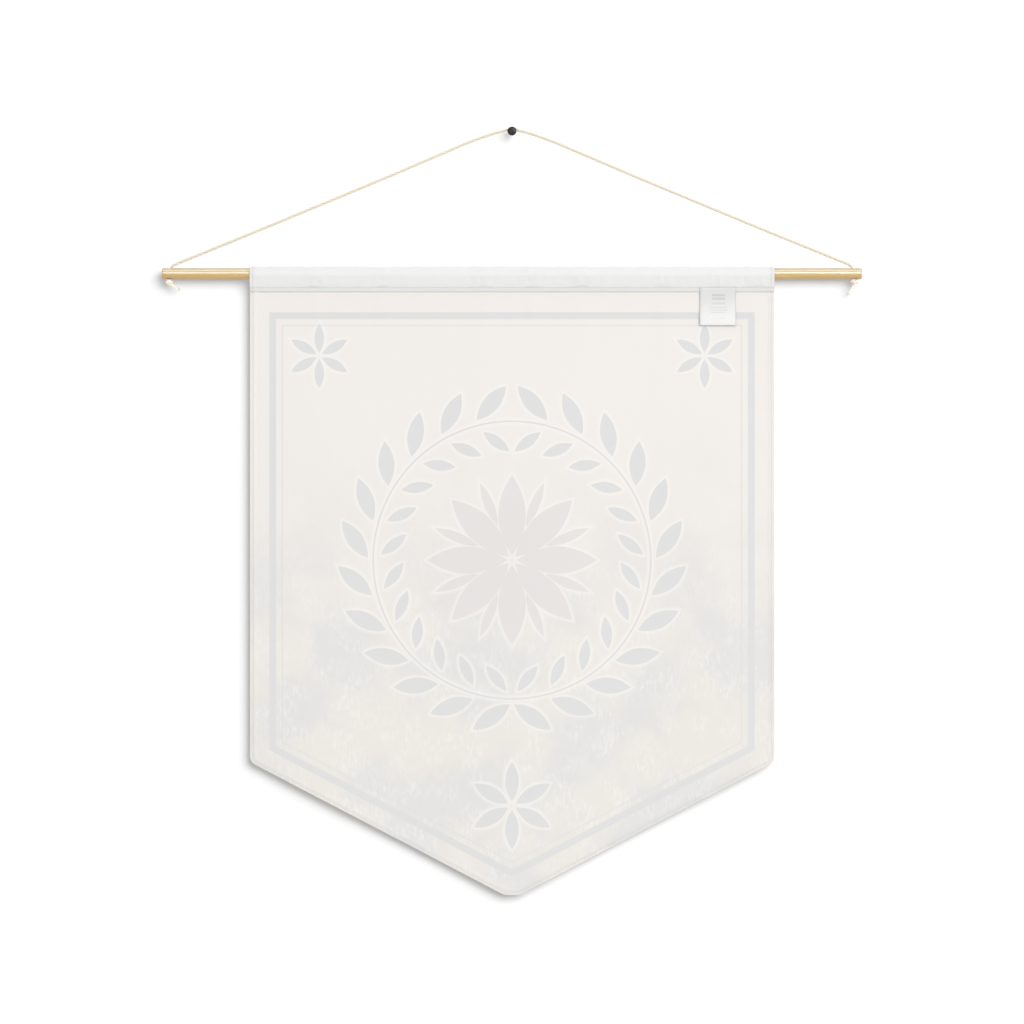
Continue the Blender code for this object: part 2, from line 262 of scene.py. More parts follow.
def smooth_route(route: Sequence[Point], steps: int) -> list[Vector]:
    """Read a smooth curve through a route's points.

    Args:
        route: points of the route.
        steps: number of steps for each span.

    Returns:
        The points of the smooth curve, the route's own among them.
    """
    stops = [Vector(point) for point in route]
    slopes = []
    for index in range(len(stops)):
        before = stops[max(index - 1, 0)]
        after = stops[min(index + 1, len(stops) - 1)]
        slopes.append((after - before).normalized())
    line = []
    for index in range(len(stops) - 1):
        reach = (stops[index + 1] - stops[index]).length / 3
        handle = stops[index] + slopes[index] * reach
        other = stops[index + 1] - slopes[index + 1] * reach
        line += interpolate_bezier(stops[index], handle, other, stops[index + 1], steps + 1)[:-1]
    return line + [stops[-1]]


def turned_mesh(name: str, profile: Sequence[tuple[float, float]], sides: int, axis: str) -> Mesh:
    """Spin a profile into a closed round shape.

    Args:
        name: the mesh's name.
        profile: points of (distance along the axis, radius), the first and last with radius 0.
        sides: number of sides.
        axis: "X", "Y" or "Z".

    Returns:
        The turned mesh.
    """
    points = [(profile[0][0], 0.0, 0.0)]
    for along, radius in profile[1:-1]:
        for step in range(sides):
            angle = FULL_TURN * step / sides
            points.append((along, radius * math.cos(angle), radius * math.sin(angle)))
    points.append((profile[-1][0], 0.0, 0.0))
    last = len(points) - 1
    rings = len(profile) - 2
    faces = []
    for step in range(sides):
        after = (step + 1) % sides
        faces.append((0, 1 + after, 1 + step))
        for ring in range(rings - 1):
            low = 1 + ring * sides
            faces.append((low + step, low + after, low + sides + after, low + sides + step))
        top = 1 + (rings - 1) * sides
        faces.append((top + step, top + after, last))
    turn = {"X": (0, 1, 2), "Y": (2, 0, 1), "Z": (1, 2, 0)}[axis]
    placed = [tuple(point[index] for index in turn) for point in points]
    return mesh_from(name, placed, faces)


def shell_mesh(name: str, outer: Sequence[Sequence[Point]], inner: Sequence[Sequence[Point]],
               places: Sequence[Sequence[tuple[float, float]]], map_name: str) -> Mesh:
    """Make a thin closed sheet from a grid of points on each of its faces.

    Args:
        name: the mesh's name.
        outer: columns of points on the outer face, which takes the second material.
        inner: the same for the inner face, which takes the first material, as the rim does.
        places: the place in the cloth of each point, in millimetres, for the map.
        map_name: the name of the map.

    Returns:
        The sheet with its map, which holds metres of cloth.
    """
    columns, rows = len(outer), len(outer[0])
    points = [point for side in (outer, inner) for column in side for point in column]
    shift = columns * rows

    def at(column: int, row: int, side: int) -> int:
        """Number of a point."""
        return side * shift + column * rows + row

    faces = []
    for side in (0, 1):
        for column in range(columns - 1):
            for row in range(rows - 1):
                quad = (at(column, row, side), at(column + 1, row, side),
                        at(column + 1, row + 1, side), at(column, row + 1, side))
                faces.append(quad if side else quad[::-1])
    printed = (columns - 1) * (rows - 1)
    rims = [((column, row), (column + 1, row)) for column in range(columns - 1) for row in (0, rows - 1)]
    rims += [((column, row), (column, row + 1)) for row in range(rows - 1) for column in (0, columns - 1)]
    faces += [(at(*start, 0), at(*end, 0), at(*end, 1), at(*start, 1)) for start, end in rims]
    mesh = mesh_from(name, points, faces)
    for polygon in mesh.polygons:
        polygon.material_index = Face.PRINTED.value if polygon.index < printed else Face.BACK.value
    flat_places = [place for column in places for place in column] * 2
    layer = mesh.uv_layers.new(name=map_name)
    for loop in mesh.loops:
        across, along = flat_places[loop.vertex_index]
        layer.uv[loop.index].vector = (across * MM, along * MM)
    return mesh


def shifted(x: float, y: float, z: float) -> Matrix:
    """Matrix that moves by a distance in millimetres."""
    return Matrix.Translation(Vector((x, y, z)) * MM)


class Recipe:
    """A Geometry Nodes tree with named inputs, run on a route to make a piece."""

    def __init__(self, name: str, sizes: Sequence[str], counts: Sequence[str]) -> None:
        """Start the tree, which also takes the route and a material.

        Args:
            name: the tree's name.
            sizes: names of the inputs that are sizes.
            counts: names of the inputs that are whole numbers.
        """
        self.tree = bpy.data.node_groups.new(name, "GeometryNodeTree")
        self.add = partial(add_node, self.tree)
        face = self.tree.interface
        for side in ("INPUT", "OUTPUT"):
            face.new_socket(name="Geometry", in_out=side, socket_type="NodeSocketGeometry")
        kinds = {label: "NodeSocketFloat" for label in sizes} | {label: "NodeSocketInt" for label in counts}
        self.identifiers = {}
        for label, kind in (*kinds.items(), ("Material", "NodeSocketMaterial")):
            self.identifiers[label] = face.new_socket(name=label, in_out="INPUT", socket_type=kind).identifier
        self.given = self.add("NodeGroupInput").outputs

    def close(self, geometry: Source) -> None:
        """End the tree: real meshes in place of instances, smooth, in the given material.

        Args:
            geometry: what the tree has made.
        """
        real = self.add("GeometryNodeRealizeInstances", {"Geometry": geometry})
        smooth = self.add("GeometryNodeSetShadeSmooth", {"Geometry": real})
        dressed = self.add("GeometryNodeSetMaterial",
                           {"Geometry": smooth, "Material": self.given["Material"]})
        self.add("NodeGroupOutput", {"Geometry": dressed})

    def run(self, item: Piece, values: dict[str, Any]) -> None:
        """Run the tree on a piece and keep the result as its plain mesh.

        Args:
            item: the piece, whose mesh is the route.
            values: a value for each named input.
        """
        modifier = item.modifiers.new(self.tree.name, "NODES")
        modifier.node_group = self.tree
        for label, value in values.items():
            modifier[self.identifiers[label]] = value
        keep_evaluated_mesh(item)


def route_piece(name: str, lines: Sequence[Sequence[Point]], attribute: str, kind: str,
                values: Sequence[Any]) -> Piece:
    """Make a piece that is only routes, for a recipe to follow.

    Args:
        name: the piece's name.
        lines: the routes' points, in millimetres.
        attribute: the name of a value that goes along.
        kind: the value's type.
        values: the value at each point of all the routes, in order.

    Returns:
        The piece.
    """
    points = []
    edges = []
    for line in lines:
        first = len(points)
        points += list(line)
        edges += [(number, number + 1) for number in range(first, len(points) - 1)]
    mesh = mesh_from(name, points, (), edges)
    layer = mesh.attributes.new(attribute, kind, "POINT")
    for entry, value in zip(layer.data, values):
        if kind == "FLOAT_VECTOR":
            entry.vector = value
        else:
            entry.value = value
    return add_piece(name, mesh)


# Finishes


@dataclass(frozen=True)
class LeafRing:
    """A ring of equal pointed leaves or petals in the print."""

    centre: tuple[float, float]
    radius: float
    count: int
    length: float
    width: float
    lean: float = 0.0
    phase: float = 0.0

    def depth(self, add: Adder, place: Source) -> Source:
        """Add the nodes that say how deep a place lies inside the nearest leaf.

        Args:
            add: adds a node to the tree.
            place: the place in the print, in millimetres.

        Returns:
            The depth in millimetres, below 0 outside the leaves.
        """
        step = FULL_TURN / self.count
        out = add(VECTOR, {0: place, 1: (*self.centre, 0.0)}, operation="SUBTRACT")
        axes = add(AXES, {0: out})
        reach = add(VECTOR, {0: out}, operation="LENGTH")
        angle = add(MATH, {0: axes.outputs["Y"], 1: axes.outputs["X"]}, operation="ARCTAN2")
        turned = add(MATH, {0: angle, 1: self.phase * step}, operation="SUBTRACT")
        near = add(MATH, {0: turned, 1: step / 2, 2: -step / 2}, operation="WRAP")
        spoke = add("ShaderNodeCombineXYZ", {0: reach})
        local = add("ShaderNodeVectorRotate", {"Vector": spoke, "Angle": near}, rotation_type="Z_AXIS")
        middle = add(VECTOR, {0: local, 1: (self.radius, 0.0, 0.0)}, operation="SUBTRACT")
        leant = add("ShaderNodeVectorRotate",
                    {"Vector": middle, "Angle": -math.radians(self.lean)}, rotation_type="Z_AXIS")
        leaf = add(AXES, {0: leant})
        share = add(MATH, {0: leaf.outputs["X"], 1: 2.0 / self.length}, operation="MULTIPLY")
        square = add(MATH, {0: share, 1: share}, operation="MULTIPLY")
        taper = add(MATH, {0: 1.0, 1: square}, operation="SUBTRACT")
        side = add(MATH, {0: leaf.outputs["Y"]}, operation="ABSOLUTE")
        full = add(MATH, {0: taper, 1: self.width / 2}, operation="MULTIPLY")
        return add(MATH, {0: full, 1: side}, operation="SUBTRACT")


@dataclass(frozen=True)
class Stroke:
    """A line of even width at a distance from something, in the print."""

    distance: float
    width: float

    def depth(self, add: Adder, measured: Source) -> Source:
        """Add the nodes that say how deep a place lies inside the line.

        Args:
            add: adds a node to the tree.
            measured: the place's distance from what the line follows, in millimetres.

        Returns:
            The depth in millimetres, below 0 outside the line.
        """
        off = add(MATH, {0: measured, 1: self.distance}, operation="SUBTRACT")
        side = add(MATH, {0: off}, operation="ABSOLUTE")
        return add(MATH, {0: self.width / 2, 1: side}, operation="SUBTRACT")


@dataclass(frozen=True)
class WreathPrint:
    """Generic printed design: a leaf wreath round a petal rosette, inside a border along the outline.

    It is dye printed into the cloth's wall side. The back shows it only as a faint ghost.
    """

    sky: str = "#DCC1A6"
    straw: str = "#B59B5C"
    shade: str = "#6E6252"
    leaf: str = "#26242A"
    petal: str = "#8E5F45"
    glow: str = "#FFF3DC"
    middle: tuple[float, float] = (0.0, -374.0)
    # Both sides of the wreath, the small spray in each upper corner and the one at the foot
    leaves: tuple[LeafRing, ...] = (
        LeafRing(middle, 138.0, 24, 41.0, 15.0, lean=48.0, phase=0.5),
        LeafRing(middle, 104.0, 24, 30.0, 10.5, lean=-46.0, phase=0.5),
        LeafRing((168.0, -196.0), 15.5, 6, 27.0, 9.5, phase=0.5),
        LeafRing((0.0, -588.0), 21.0, 6, 36.0, 13.0, phase=0.5))
    # The rosette's broad petals and the narrow ones between them
    petals: tuple[LeafRing, ...] = (
        LeafRing(middle, 39.0, 8, 72.0, 25.0),
        LeafRing(middle, 52.0, 8, 44.0, 9.5, phase=0.5))
    stem: Stroke = Stroke(121.0, 2.6)
    border: tuple[Stroke, ...] = (Stroke(20.0, 7.0), Stroke(28.5, 1.8))
    glow_width: float = 3.6
    glow_strength: float = 0.55
    soft_edge: float = 1.1
    fade_top: float = -230.0
    fade_foot: float = -520.0
    cloud_size: float = 70.0
    tuft_size: float = 26.0
    blade_width: float = 2.6
    blade_length: float = 7.0
    blade_strength: float = 0.6

    def deepest(self, add: Adder, depths: Sequence[Source]) -> Source:
        """Join several shapes by the greatest of their depths."""
        return reduce(lambda best, depth: add(MATH, {0: best, 1: depth}, operation="MAXIMUM"), depths)

    def paint(self, add: Adder, ground: Source, depth: Source, code: str, glowing: bool) -> Source:
        """Lay one colour over the ground inside a shape, with a pale glow round it.

        Args:
            add: adds a node to the tree.
            ground: the colour so far.
            depth: the shape's depth.
            code: the shape's colour.
            glowing: whether the shape has the pale glow.

        Returns:
            The new colour.
        """
        if glowing:
            halo = add(RANGE, {0: depth, 1: -self.glow_width, 2: 0.0, 3: 0.0, 4: self.glow_strength},
                       interpolation_type="SMOOTHSTEP")
            ground = add(MIX, {MIX_FACTOR: halo, MIX_FIRST: ground, MIX_SECOND: colour(self.glow)},
                         data_type="RGBA")
        inside = add(RANGE, {0: depth, 1: 0.0, 2: self.soft_edge}, interpolation_type="SMOOTHSTEP")
        return add(MIX, {MIX_FACTOR: inside, MIX_FIRST: ground, MIX_SECOND: colour(code)}, data_type="RGBA")

    def ground(self, add: Adder, place: Source, height: Source) -> Source:
        """Add the washed ground: warm at the top, and mottled straw and shade towards the foot.

        Args:
            add: adds a node to the tree.
            place: the place in the print, in millimetres.
            height: its height, in millimetres.

        Returns:
            The ground's colour.
        """
        fall = add(RANGE, {0: height, 1: self.fade_top, 2: self.fade_foot}, interpolation_type="SMOOTHSTEP")
        cloud = add(NOISE, {"Vector": place, "Scale": 1.0 / self.cloud_size, "Detail": 3.0})
        soft = add(RANGE, {0: cloud, 1: 0.40, 2: 0.62}, interpolation_type="SMOOTHSTEP")
        upright = add(VECTOR, {0: place, 1: (1.0 / self.blade_width, 1.0 / self.blade_length, 0.0)},
                      operation="MULTIPLY")
        blade = add(NOISE, {"Vector": upright, "Scale": 1.0, "Detail": 4.0, "Distortion": 0.6})
        flecks = add(RANGE, {0: blade, 1: 0.42, 2: 0.72, 3: 0.0, 4: self.blade_strength})
        patches = add(NOISE, {"Vector": place, "Scale": 1.0 / self.tuft_size, "Detail": 2.0})
        tufts = add(RANGE, {0: patches, 1: 0.38, 2: 0.62}, interpolation_type="SMOOTHSTEP")
        low = add(MATH, {0: flecks, 1: fall}, operation="MULTIPLY")
        grass = add(MATH, {0: low, 1: tufts}, operation="MULTIPLY")
        shaded = add(MATH, {0: soft, 1: fall}, operation="MULTIPLY")
        wash = colour(self.sky)
        for share, code in ((fall, self.straw), (shaded, self.shade), (grass, self.glow)):
            wash = add(MIX, {MIX_FACTOR: share, MIX_FIRST: wash, MIX_SECOND: colour(code)}, data_type="RGBA")
        return wash

    def build(self, add: Adder, place: Source, outline: "Outline") -> Source:
        """Add the whole print.

        Args:
            add: adds a node to the tree.
            place: the place in the cloth, in millimetres.
            outline: the cloth's outline, which the border follows.

        Returns:
            The print's colour.
        """
        axes = add(AXES, {0: place})
        across = add(MATH, {0: axes.outputs["X"]}, operation="ABSOLUTE")
        height = axes.outputs["Y"]
        mirrored = add("ShaderNodeCombineXYZ", {0: across, 1: height})
        out = add(VECTOR, {0: mirrored, 1: (*self.middle, 0.0)}, operation="SUBTRACT")
        reach = add(VECTOR, {0: out}, operation="LENGTH")
        inset = outline.distance_nodes(add, across, height, outline.border_top)
        leaves = [ring.depth(add, mirrored) for ring in self.leaves]
        leaves.append(self.stem.depth(add, reach))
        petals = [ring.depth(add, mirrored) for ring in self.petals]
        lines = [stroke.depth(add, inset) for stroke in self.border]
        painted = self.ground(add, place, height)
        painted = self.paint(add, painted, self.deepest(add, petals), self.petal, True)
        painted = self.paint(add, painted, self.deepest(add, leaves), self.leaf, True)
        return self.paint(add, painted, self.deepest(add, lines), self.leaf, False)


@dataclass(frozen=True)
class Outline:
    """The banner's outline: straight sides, slanting lower edges and a blunt tip, with round corners."""

    half_width: float = 228.6
    shoulder_z: float = -550.0
    tip_z: float = -666.0
    tip_half_flat: float = 6.8
    corner_radius: float = 8.7
    tip_radius: float = 8.0
    border_top: float = -141.0
    corner_steps: int = 6
    tip_steps: int = 4

    @property
    def slant(self) -> float:
        """Angle of the lower edges above level."""
        return math.atan2(self.shoulder_z - self.tip_z, self.half_width - self.tip_half_flat)

    @property
    def corner(self) -> Vector:
        """Centre of the right corner's arc."""
        run = self.corner_radius * math.tan((math.pi / 2 - self.slant) / 2)
        return Vector((self.half_width - self.corner_radius, self.shoulder_z + run))

    @property
    def tip(self) -> Vector:
        """Centre of the tip's right arc."""
        run = self.tip_radius * math.tan(self.slant / 2)
        return Vector((self.tip_half_flat - run, self.tip_z + self.tip_radius))

    def lower_edge(self, x: float) -> float:
        """Height of the lower edge at x: flat tip, tip arc, slanting edge, corner arc.

        Args:
            x: place across the cloth.

        Returns:
            The height.
        """
        across = abs(x)
        if across <= self.tip.x:
            return self.tip_z
        if across < self.tip.x + self.tip_radius * math.sin(self.slant):
            return self.tip.y - math.sqrt(self.tip_radius ** 2 - (across - self.tip.x) ** 2)
        if across <= self.corner.x + self.corner_radius * math.sin(self.slant):
            return self.tip_z + (across - self.tip_half_flat) * math.tan(self.slant)
        out = min(across - self.corner.x, self.corner_radius)
        return self.corner.y - math.sqrt(self.corner_radius ** 2 - out ** 2)

    def inset(self, x: float, z: float) -> float:
        """Distance of a point inside the outline from the nearest side or lower edge.

        Args:
            x: place across the cloth.
            z: height.

        Returns:
            The distance.
        """
        across = abs(x)
        along = Vector((math.cos(self.slant), math.sin(self.slant)))
        corner = Vector((across, z)) - self.corner
        if corner.y < 0.0 < corner.dot(along):
            return self.corner_radius - corner.length
        tip = Vector((across, z)) - self.tip
        if tip.x > 0.0 > tip.dot(along):
            return self.tip_radius - tip.length
        slanting = (z - self.tip_z) * along.x - (across - self.tip_half_flat) * along.y
        return min(self.half_width - across, slanting, z - self.tip_z)

    def inset_line(self, depth: float, top: float) -> list[tuple[float, float]]:
        """The line at an even depth inside the outline, from the left side's top round to the right's.

        Args:
            depth: distance from the edge.
            top: height at which the line starts and ends.

        Returns:
            Points of (x, z).
        """
        turn = math.pi / 2 - self.slant
        right = [(self.half_width - depth, top)]
        for centre, radius, first, swing, steps in (
                (self.corner, self.corner_radius, 0.0, turn, self.corner_steps),
                (self.tip, self.tip_radius, turn, self.slant, self.tip_steps)):
            reach = radius - depth
            for step in range(steps + 1):
                angle = -(first + swing * step / steps)
                right.append((centre.x + reach * math.cos(angle), centre.y + reach * math.sin(angle)))
        return [(-x, z) for x, z in right] + right[::-1]

    def distance_nodes(self, add: Adder, across: Source, height: Source, top_z: float) -> Source:
        """Add the nodes for the distance from the sides, the lower edges and a level line at the top.

        Args:
            add: adds a node to the tree.
            across: distance from the middle line, in millimetres.
            height: height, in millimetres.
            top_z: height of the line that closes the outline at the top.

        Returns:
            The distance, in millimetres.
        """
        nearest = add(MATH, {0: self.half_width, 1: across}, operation="SUBTRACT")
        top = add(MATH, {0: top_z, 1: height}, operation="SUBTRACT")
        foot = add(MATH, {0: height, 1: self.tip_z}, operation="SUBTRACT")
        rise = add(MATH, {0: foot, 1: math.cos(self.slant)}, operation="MULTIPLY")
        over = add(MATH, {0: across, 1: self.tip_half_flat}, operation="SUBTRACT")
        fall = add(MATH, {0: over, 1: math.sin(self.slant)}, operation="MULTIPLY")
        slanting = add(MATH, {0: rise, 1: fall}, operation="SUBTRACT")
        for other in (top, foot, slanting):
            nearest = add(MATH, {0: nearest, 1: other}, operation="MINIMUM")
        return nearest


@dataclass(frozen=True)
class PolyesterPoplin:
    """Matt woven polyester, dye printed on one face. It looks soft and flat, with hardly any shine."""

    white: str = "#DBDBDB"
    # Painted shade: the flap colour and the hems' share draw the flap and the hems greyer than the rest of
    # the cloth.
    flap: str = "#D0D0D0"
    hem_shade_share: float = 0.975
    hem_shade_fade: tuple[float, float] = (-0.2, 0.8)
    flap_shade_fade: tuple[float, float] = (-1.5, 0.5)
    print_fade: tuple[float, float] = (-0.5, 0.5)
    ghost: float = 0.155
    thread_spacing: float = 0.5
    thread_height: float = 0.05
    slub_length: float = 14.0
    slub_width: float = 1.1
    slub_share: float = 1.6
    relief: float = 0.22
    print_design: WreathPrint = WreathPrint()

    def weave(self, add: Adder, place: Source) -> Source:
        """Add the plain weave with uneven threads as bump.

        The threads are half a millimetre apart, so they show only from close by. The uneven threads
        are drawn a little coarser than real ones, so that the cloth isn't blank from a step away.

        Args:
            add: adds a node to the tree.
            place: the place in the cloth, in millimetres.

        Returns:
            The bump.
        """
        turns = add(VECTOR, {0: place, "Scale": math.pi / self.thread_spacing}, operation="SCALE")
        wave = add(VECTOR, {0: turns}, operation="SINE")
        both = add(AXES, {0: wave})
        height = add(MATH, {0: both.outputs["X"], 1: both.outputs["Y"]}, operation="MULTIPLY")
        for across, along in ((self.slub_length, self.slub_width), (self.slub_width, self.slub_length)):
            drawn = add(VECTOR, {0: place, 1: (1 / across, 1 / along, 0.0)}, operation="MULTIPLY")
            slub = add(NOISE, {"Vector": drawn, "Scale": 1.0, "Detail": 2.0})
            height = add(MATH, {0: slub, 1: self.slub_share, 2: height}, operation="MULTIPLY_ADD")
        return add("ShaderNodeBump",
                   {"Strength": self.relief, "Distance": self.thread_height * MM, "Height": height})

    def build(self, face: Face, cloth: "BannerCloth") -> Material:
        """Make the material of one face.

        The hems and the flap are painted a shade greyer: painted shade for the light that the doubled cloth
        holds back.

        Args:
            face: the face.
            cloth: the cloth, whose outline, hems and seam the print and the tones follow.

        Returns:
            The material.
        """
        material, add, shader = start_material("polyester_poplin_" + face.name.lower(), {
            "Roughness": 0.86, "Specular IOR Level": 0.25, "Sheen Weight": 0.08, "Sheen Roughness": 0.5})
        uv = add("ShaderNodeUVMap", uv_map=CLOTH_MAP)
        place = add(VECTOR, {0: uv, "Scale": 1.0 / MM}, operation="SCALE")
        axes = add(AXES, {0: place})
        across = add(MATH, {0: axes.outputs["X"]}, operation="ABSOLUTE")
        height = axes.outputs["Y"]
        above = cloth.flap_top() + cloth.outline.half_width
        inset = cloth.outline.distance_nodes(add, across, height, above)
        share = 1.0 if face is Face.PRINTED else self.ghost
        fades = []
        for measured, start, (low, high), values in (
                (height, cloth.print_top(), self.print_fade, (share, 0.0)),
                (height, cloth.flap_top(), self.flap_shade_fade, (0.0, 1.0)),
                (inset, cloth.hem_width, self.hem_shade_fade, (self.hem_shade_share, 1.0))):
            ends = {1: start + low, 2: start + high, 3: values[0], 4: values[1]}
            fades.append(add(RANGE, {0: measured} | ends))
        # Painted shade: greyer on the flap past the seam, and over the hems.
        shown, flap_shade_share, hem_shade = fades
        dyed = colour(self.white)
        for share, laid_on in ((flap_shade_share, colour(self.flap)),
                               (shown, self.print_design.build(add, place, cloth.outline))):
            dyed = add(MIX, {MIX_FACTOR: share, MIX_FIRST: dyed, MIX_SECOND: laid_on}, data_type="RGBA")
        base = add(VECTOR, {0: dyed, "Scale": hem_shade}, operation="SCALE")
        feed(shader, {"Base Color": base, "Normal": self.weave(add, place)})
        return material


@dataclass(frozen=True)
class SatinRibbon:
    """White woven satin ribbon. Its floating threads give a soft sheen and hide the weave.

    Towards the seam it is painted darker: painted shade that fades out before the fold.
    """

    white: str = "#E4E4E3"
    seam_shade: str = "#D9D9D9"
    ink: str = "#9A9A9A"
    seam_shade_to: float = 6.0
    seam_shade_gone_from: float = 29.0
    rib_spacing: float = 0.3
    rib_height: float = 0.02
    soft_edge: float = 0.55
    fleck_size: float = 0.625
    # Bars as left, right, top, bottom and strength. The last is painted shade: a darker line along the right
    # edge.
    bars: tuple[tuple[float, float, float, float, float], ...] = (
        (10.8, 22.0, 6.1, 7.9, 0.42),
        (10.8, 22.6, 9.1, 11.1, 0.40),
        (11.2, 22.4, 13.5, 15.1, 0.30),
        (9.8, 23.8, 17.3, 18.5, 0.22),
        (9.8, 24.4, 19.5, 20.7, 0.20),
        (9.8, 23.4, 21.7, 22.7, 0.22),
        (11.8, 21.8, 26.9, 27.9, 0.10),
        (30.7, 31.5, 4.0, 63.0, 0.26))

    def build(self) -> Material:
        """Make the ribbon with its plain grey care bars, whose edges are soft like ink run into the weave.

        Returns:
            The material.
        """
        material, add, shader = start_material("satin_ribbon", {
            "Roughness": 0.5, "Specular IOR Level": 0.35, "Sheen Weight": 0.1, "Sheen Roughness": 0.3})
        uv = add("ShaderNodeUVMap", uv_map=LABEL_MAP)
        place = add(VECTOR, {0: uv, "Scale": 1.0 / MM}, operation="SCALE")
        axes = add(AXES, {0: place})
        ink = 0.0
        for left, right, top, bottom, strength in self.bars:
            middle = ((left + right) / 2, (top + bottom) / 2, 0.0)
            half = ((right - left) / 2, (bottom - top) / 2, 0.0)
            off = add(VECTOR, {0: place, 1: middle}, operation="SUBTRACT")
            off = add(VECTOR, {0: off}, operation="ABSOLUTE")
            over = add(VECTOR, {0: off, 1: half}, operation="SUBTRACT")
            sides = add(AXES, {0: over})
            most = add(MATH, {0: sides.outputs["X"], 1: sides.outputs["Y"]}, operation="MAXIMUM")
            bar = add(RANGE, {0: most, 1: self.soft_edge, 2: -self.soft_edge},
                      interpolation_type="SMOOTHSTEP")
            ink = add(MATH, {0: bar, 1: strength, 2: ink}, operation="MULTIPLY_ADD")
        broken = add(NOISE, {"Vector": place, "Scale": 1.0 / self.fleck_size, "Detail": 2.0})
        patchy = add(RANGE, {0: broken, 1: 0.35, 2: 0.60, 3: 0.45, 4: 1.0})
        inked = add(MATH, {0: ink, 1: patchy}, operation="MULTIPLY")
        # Painted shade: the ribbon is darker towards the seam and white again towards the fold.
        worn = add(RANGE, {0: axes.outputs["Y"], 1: self.seam_shade_to, 2: self.seam_shade_gone_from},
                   interpolation_type="SMOOTHSTEP")
        base = colour(self.seam_shade)
        for share, code in ((worn, self.white), (inked, self.ink)):
            base = add(MIX, {MIX_FACTOR: share, MIX_FIRST: base, MIX_SECOND: colour(code)}, data_type="RGBA")
        turned = add(MATH, {0: axes.outputs["X"], 1: FULL_TURN / self.rib_spacing}, operation="MULTIPLY")
        rib = add(MATH, {0: turned}, operation="SINE")
        bump = add("ShaderNodeBump", {"Strength": 0.2, "Distance": self.rib_height * MM, "Height": rib})
        feed(shader, {"Base Color": base, "Normal": bump})
        return material


@dataclass(frozen=True)
class VarnishedBirch:
    """Turned birch dowel, sanded and lightly varnished. The varnish gives it a clear line of light."""

    light: str = "#C8AA74"
    dark: str = "#BD9A62"
    pore: str = "#A5804C"
    figure_length: float = 55.0
    figure_width: float = 1.6
    pore_length: float = 5.0
    pore_width: float = 0.16
    pore_depth: float = 0.03
    pith: tuple[float, float, float] = (0.0, -3.0, -116.0)
    ring_spacing: float = 1.4
    side_rings: float = 0.06
    end_rings: float = 0.35
    end_fade: tuple[float, float] = (-0.6, -0.1)

    def build(self, end_x: float) -> Material:
        """Make the wood: long soft figure, short pores and, across the ends, growth rings.

        Args:
            end_x: where the dowel's end face lies.

        Returns:
            The material.
        """
        material, add, shader = start_material("varnished_birch", {
            "Roughness": 0.5, "Specular IOR Level": 0.25, "Coat Weight": 1.0, "Coat Roughness": 0.19})
        where = add("ShaderNodeTexCoord").outputs["Object"]
        place = add(VECTOR, {0: where, "Scale": 1.0 / MM}, operation="SCALE")
        drawn = []
        for length, width in ((self.figure_length, self.figure_width), (self.pore_length, self.pore_width)):
            scale = (1.0 / length, 1.0 / width, 1.0 / width)
            drawn.append(add(VECTOR, {0: place, 1: scale}, operation="MULTIPLY"))
        growth = add(NOISE, {"Vector": drawn[0], "Scale": 1.0, "Detail": 4.0, "Distortion": 0.4})
        figure = add(RANGE, {0: growth, 1: 0.32, 2: 0.68})
        specks = add(NOISE, {"Vector": drawn[1], "Scale": 1.0, "Detail": 1.0})
        pores = add(RANGE, {0: specks, 1: 0.60, 2: 0.74, 3: 0.0, 4: 0.45})
        axes = add(AXES, {0: place})
        section = add(VECTOR, {0: place, 1: (0.0, 1.0, 1.0)}, operation="MULTIPLY")
        off = add(VECTOR, {0: section, 1: self.pith}, operation="SUBTRACT")
        reach = add(VECTOR, {0: off}, operation="LENGTH")
        turns = add(MATH, {0: reach, 1: FULL_TURN / self.ring_spacing}, operation="MULTIPLY")
        rings = add(MATH, {0: turns}, operation="SINE")
        past = add(MATH, {0: axes.outputs["X"]}, operation="ABSOLUTE")
        ends = add(RANGE, {0: past, 1: end_x + self.end_fade[0], 2: end_x + self.end_fade[1],
                           3: self.side_rings, 4: self.end_rings})
        banded = add(MATH, {0: rings, 1: ends}, operation="MULTIPLY")
        tone = add(MATH, {0: figure, 1: banded}, operation="ADD")
        base = colour(self.light)
        for share, code in ((tone, self.dark), (pores, self.pore)):
            base = add(MIX, {MIX_FACTOR: share, MIX_FIRST: base, MIX_SECOND: colour(code)}, data_type="RGBA")
        bump = add("ShaderNodeBump",
                   {"Strength": 0.08, "Distance": self.pore_depth * MM, "Height": pores}, invert=True)
        feed(shader, {"Base Color": base, "Normal": bump})
        return material


@dataclass(frozen=True)
class CombedCotton:
    """Unbleached cotton yarn, spun and laid up. Its fibres run round each ply and scatter light softly."""

    name: str = "combed_cotton"
    light: str = "#F1E9D8"
    dark: str = "#D3C1A0"
    fibre_width: float = 0.14
    fibre_height: float = 0.05

    def build(self) -> Material:
        """Make the yarn, whose fibres follow the attribute that the cord's recipe leaves.

        Returns:
            The material.
        """
        material, add, shader = start_material(self.name, {
            "Roughness": 0.92, "Specular IOR Level": 0.2, "Sheen Weight": 0.35, "Sheen Roughness": 0.6})
        where = add("ShaderNodeAttribute", attribute_name=FIBRE_PLACE).outputs["Vector"]
        place = add(VECTOR, {0: where, "Scale": 1.0 / (self.fibre_width * MM)}, operation="SCALE")
        strands = add(NOISE, {"Vector": place, "Scale": 1.0, "Detail": 2.0})
        tone = add(RANGE, {0: strands, 1: 0.35, 2: 0.70, 3: 0.0, 4: 0.8})
        base = add(MIX, {MIX_FACTOR: tone, MIX_FIRST: colour(self.light), MIX_SECOND: colour(self.dark)},
                   data_type="RGBA")
        bump = add("ShaderNodeBump",
                   {"Strength": 0.5, "Distance": self.fibre_height * MM, "Height": strands}, invert=True)
        feed(shader, {"Base Color": base, "Normal": bump})
        return material


